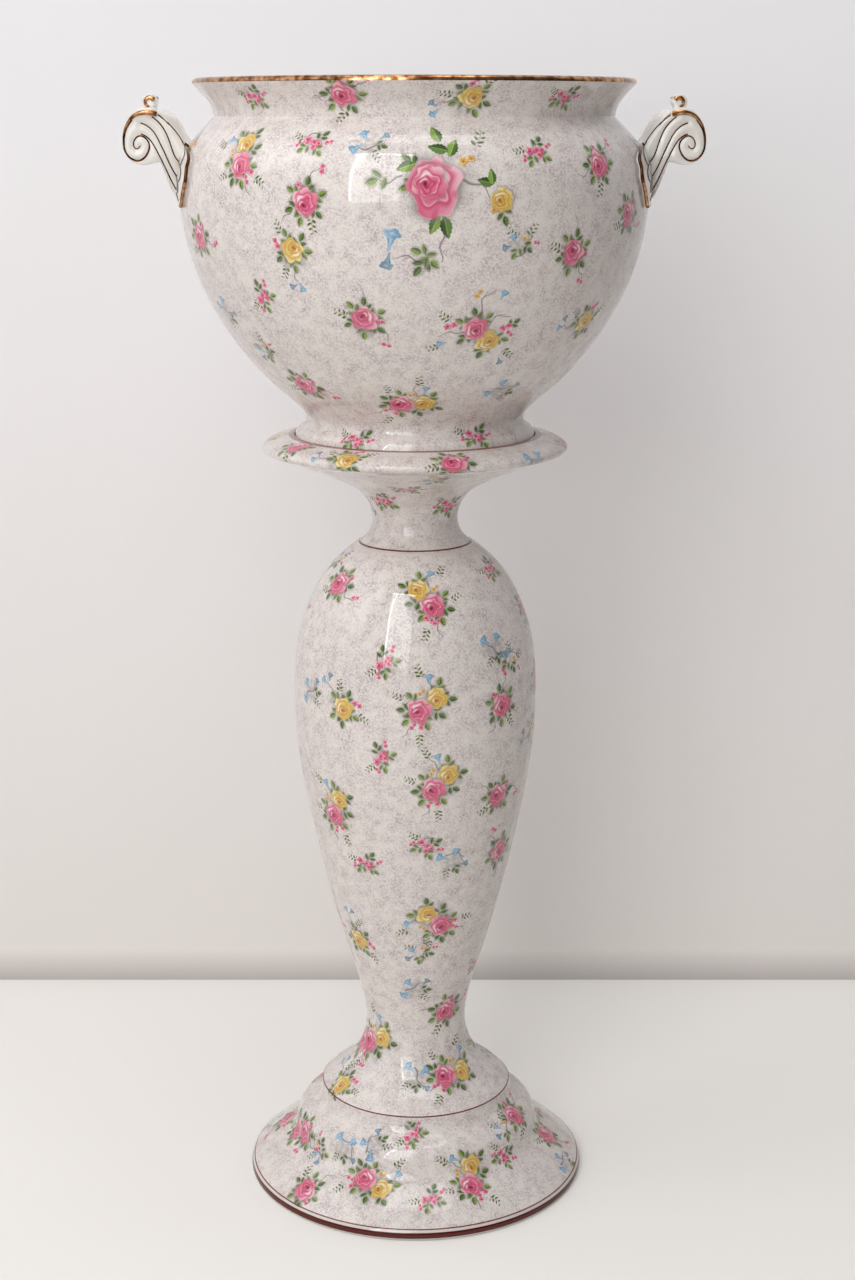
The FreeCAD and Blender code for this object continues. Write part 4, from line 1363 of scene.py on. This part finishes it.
    def gild(self, line: GiltLine, cheek: int, trees: Sequence[BVHTree], name: str) -> bpy.types.Object:
        """Lay one gilt line on a cheek of the handle.

        Args:
            line: The line.
            cheek: -1 for the cheek towards the viewer, and 1 for the one behind.
            trees: The surfaces that it may lie on.
            name: The new piece's name.

        Returns:
            The gilding, as a mesh.
        """
        curve = bpy.data.curves.new(name, "CURVE")
        curve.dimensions, curve.bevel_depth, curve.bevel_resolution = "3D", MM, 2
        curve.use_fill_caps = True
        path = spline(line.spots, 5 * len(line.spots))
        widths = np.linspace(line.start, line.end, len(path))
        found = []
        for (x, z), width in zip(path, widths):
            start = Vector((self.side * x, cheek * 120, z)) * MM
            hits = [tree.ray_cast(start, Vector((0, -cheek, 0)))[0] for tree in trees]
            ahead = [hit for hit in hits if hit is not None and hit.y * cheek > 0]
            if ahead:
                found.append((max(ahead, key=lambda hit: hit.y * cheek), width))
        spots = curve.splines.new("POLY")
        spots.points.add(len(found) - 1)
        for point, (hit, width) in zip(spots.points, found):
            point.co, point.radius = (*hit, 1.0), width
        draft = link(bpy.data.objects.new(f"{name}_draft", curve))
        mesh = made(draft)
        bpy.data.objects.remove(draft)
        mesh.shade_smooth()
        return link(bpy.data.objects.new(name, mesh))


def bowl_wall() -> tuple[np.ndarray, np.ndarray]:
    """Return heights up the bowl's outer wall, and the wall's radius at each."""
    wall = np.vstack([spline(stretch.spots) for stretch in BOWL.profile[5:8]])
    return wall[:, 1], wall[:, 0]


def distance(spots: np.ndarray, path: np.ndarray) -> np.ndarray:
    """Measure how far spots lie from a path.

    Args:
        spots: The spots, one a row.
        path: The path's corners, one a row.

    Returns:
        A distance for each spot.
    """
    nearest = np.full(len(spots), np.inf)
    for start, end in zip(path[:-1], path[1:]):
        way = end - start
        share = np.clip((spots - start) @ way / (way @ way), 0, 1)
        nearest = np.minimum(nearest, np.hypot(*(spots - start - share[:, None] * way).T))
    return nearest


def tree_of(piece: bpy.types.Object) -> BVHTree:
    """Return a piece's surface for casting rays at."""
    return BVHTree.FromPolygons(
        [v.co for v in piece.data.vertices], [p.vertices for p in piece.data.polygons]
    )


def made(draft: bpy.types.Object) -> bpy.types.Mesh:
    """Make a draft's modifiers, or its curve's bevel, real.

    Args:
        draft: The draft.

    Returns:
        Its finished mesh.
    """
    bpy.context.view_layer.update()
    graph = bpy.context.evaluated_depsgraph_get()
    return bpy.data.meshes.new_from_object(draft.evaluated_get(graph))


def dress(
    piece: bpy.types.Object,
    finish_material: bpy.types.Material,
    body: str,
    node: str | None = None,
) -> None:
    """Give a piece its finish, and tell the frame what it rides on.

    Args:
        piece: The piece.
        finish_material: Its finish.
        body: The body that it rides on.
        node: The node that it stands for, if it stands for one.
    """
    piece.data.materials.append(finish_material)
    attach(piece, body)
    if node:
        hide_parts(node)


# ------------------------------------------------------------------------------- the stage


@dataclass(frozen=True)
class Lamp:
    """A soft light: its azimuth from the viewer towards +X, its rise, distance, size, watts."""

    name: str
    azimuth: float
    rise: float
    away: float
    width: float
    height: float
    power: float

    def hang(self) -> None:
        """Hang the lamp, turned to the middle of the object."""
        data = bpy.data.lights.new(self.name, "AREA")
        data.shape, data.size, data.size_y = "RECTANGLE", self.width, self.height
        data.energy = self.power
        lamp = link(bpy.data.objects.new(self.name, data))
        turn, rise = math.radians(self.azimuth), math.radians(self.rise)
        way = Vector((math.sin(turn), -math.cos(turn), 0)) * math.cos(rise)
        way.z = math.sin(rise)
        lamp.location = way * self.away + Vector((0, 0, 0.6))
        lamp.rotation_euler = way.to_track_quat("Z", "Y").to_euler()


@dataclass(frozen=True)
class Studio:
    """A pale floor and wall, a tall window with bright reveals, two soft boxes, and the camera."""

    wall_away: float = 0.407
    reach: float = 6.0
    camera_place: tuple[float, float, float] = (0.0105, -1.75, 0.924)
    camera_down: float = 14.0
    lens: float = 59.06
    window: Lamp = Lamp("window", -17.0, 28.0, 2.4, 1.0, 2.3, 26.0)
    frame_side: Lamp = Lamp("bright_window_side", -29.0, 28.0, 2.4, 0.05, 2.2, 4.2)
    frame_top: Lamp = Lamp("bright_window_top", -17.0, 53.0, 2.4, 1.0, 0.05, 1.9)
    left_box: Lamp = Lamp("left_box", -76.0, 38.0, 3.0, 2.0, 2.0, 14.5)
    ceiling: Lamp = Lamp("ceiling", 0.0, 90.0, 2.4, 1.6, 1.6, 18.5)
    sky_strength: float = 0.36
    glow: float = 0.27

    def build(self) -> None:
        """Build the floor, the wall, the lights and the camera."""
        self.floor()
        self.wall()
        self.light()
        self.camera()

    def floor(self) -> None:
        """Lay the floor."""
        material = bpy.data.materials.new("pale_floor")
        graph = new_graph(material)
        face = self.pale(graph, linear("#e1deda"))
        graph.add("ShaderNodeOutputMaterial", None, {"Surface": face})
        self.sheet("floor", material, Matrix.Identity(4))

    def wall(self) -> None:
        """Stand the wall up, seen only from the front, so that it hides nothing from behind."""
        material = bpy.data.materials.new("pale_wall")
        graph = new_graph(material)
        here = graph.add("ShaderNodeTexCoord").outputs["Object"]
        height = graph.add("ShaderNodeSeparateXYZ", None, {0: here}).outputs["Y"]
        # Painted shade: the wall's colour goes a little darker lower down, and much darker over its lowest 35
        # mm, where it meets the floor.
        known = graph.work_out(
            "paint = mix(clamp(1 - height / 0.035), mix(clamp(height / 1.3), low, high), foot)",
            **{"height": height, "low": "#dbd6d2", "high": "#dfdee2", "foot": "#b3adaa"},
        )
        face = self.pale(graph, known["paint"])
        clear = graph.add("ShaderNodeBsdfTransparent").outputs[0]
        back = graph.add("ShaderNodeNewGeometry").outputs["Backfacing"]
        both = graph.add("ShaderNodeMixShader", None, {0: back, 1: face, 2: clear}).outputs[0]
        graph.add("ShaderNodeOutputMaterial", None, {"Surface": both})
        stand = Matrix.Translation((0, self.wall_away, 0)) @ Matrix.Rotation(math.pi / 2, 4, "X")
        self.sheet("wall", material, stand)

    def pale(self, graph: Graph, colour: Socket | Sequence[float]) -> Socket:
        """Make a matt surface that the camera and the glaze see a little paler than it is lit.

        Args:
            graph: The material's graph.
            colour: The surface's colour.

        Returns:
            The surface's shader.
        """
        ray = graph.add("ShaderNodeLightPath").outputs
        seen = {"camera": ray["Is Camera Ray"], "glossy": ray["Is Glossy Ray"], "glow": self.glow}
        strength = graph.work_out("strength = glow * max(camera, glossy)", **seen)["strength"]
        glow = {"Color": colour, "Strength": strength}
        shades = {
            0: graph.add("ShaderNodeBsdfDiffuse", None, {"Color": colour}).outputs[0],
            1: graph.add("ShaderNodeEmission", None, glow).outputs[0],
        }
        return graph.add("ShaderNodeAddShader", None, shades).outputs[0]

    def sheet(self, name: str, material: bpy.types.Material, place: Matrix) -> None:
        """Add one large flat sheet of the stage.

        Args:
            name: Its name.
            material: Its finish.
            place: Where it goes, and how it is turned.
        """
        bm = bmesh.new()
        bmesh.ops.create_grid(bm, x_segments=1, y_segments=1, size=self.reach)
        mesh = bpy.data.meshes.new(name)
        bm.to_mesh(mesh)
        bm.free()
        mesh.materials.append(material)
        sheet = link(bpy.data.objects.new(name, mesh))
        sheet.matrix_world = place

    def light(self) -> None:
        """Hang the soft boxes and light the room, brighter from above and from the left."""
        for lamp in (self.window, self.frame_side, self.frame_top, self.left_box, self.ceiling):
            lamp.hang()
        world = bpy.data.worlds.new("pale_room")
        bpy.context.scene.world = world
        world.use_nodes = True
        world.node_tree.nodes.clear()
        graph = Graph(world.node_tree)
        way = graph.add("ShaderNodeTexCoord").outputs["Generated"]
        x, _, z = graph.add("ShaderNodeSeparateXYZ", None, {0: way}).outputs
        sky = graph.work_out(
            "strength = level * clamp(0.44 + 0.48 * z - 0.42 * x)", x=x, z=z, level=self.sky_strength
        )["strength"]
        white = {"Color": linear("#ffffff"), "Strength": sky}
        shade = graph.add("ShaderNodeBackground", None, white).outputs[0]
        graph.add("ShaderNodeOutputWorld", None, {"Surface": shade})

    def camera(self) -> None:
        """Set up the photo's camera."""
        data = bpy.data.cameras.new("camera")
        data.lens, data.sensor_width = self.lens, 36.0
        camera = link(bpy.data.objects.new("camera", data))
        camera.location = self.camera_place
        camera.rotation_euler = (math.radians(90 - self.camera_down), 0, 0)
        bpy.context.scene.camera = camera


def main() -> None:
    """Build the object and its stage."""
    gold = Gilding("burnished_gold", "#d0a074", "#6e4020").material()
    line_gold = Gilding("thin_worn_gold", "#6e4425", "#2e190b").material()
    white = WhiteGlaze().material()
    chintz = PrintedGlaze().material()
    for piece in (FOOT, COLUMN, SAUCER, BOWL):
        piece.build((chintz, white, gold))
    for handle in (ScrollHandle("handle_right", 1), ScrollHandle("handle_left", -1)):
        handle.build(white, gold, line_gold)
    Studio().build()
    bpy.context.scene.view_settings.view_transform = "Standard"


if __name__ == "__main__":
    main()
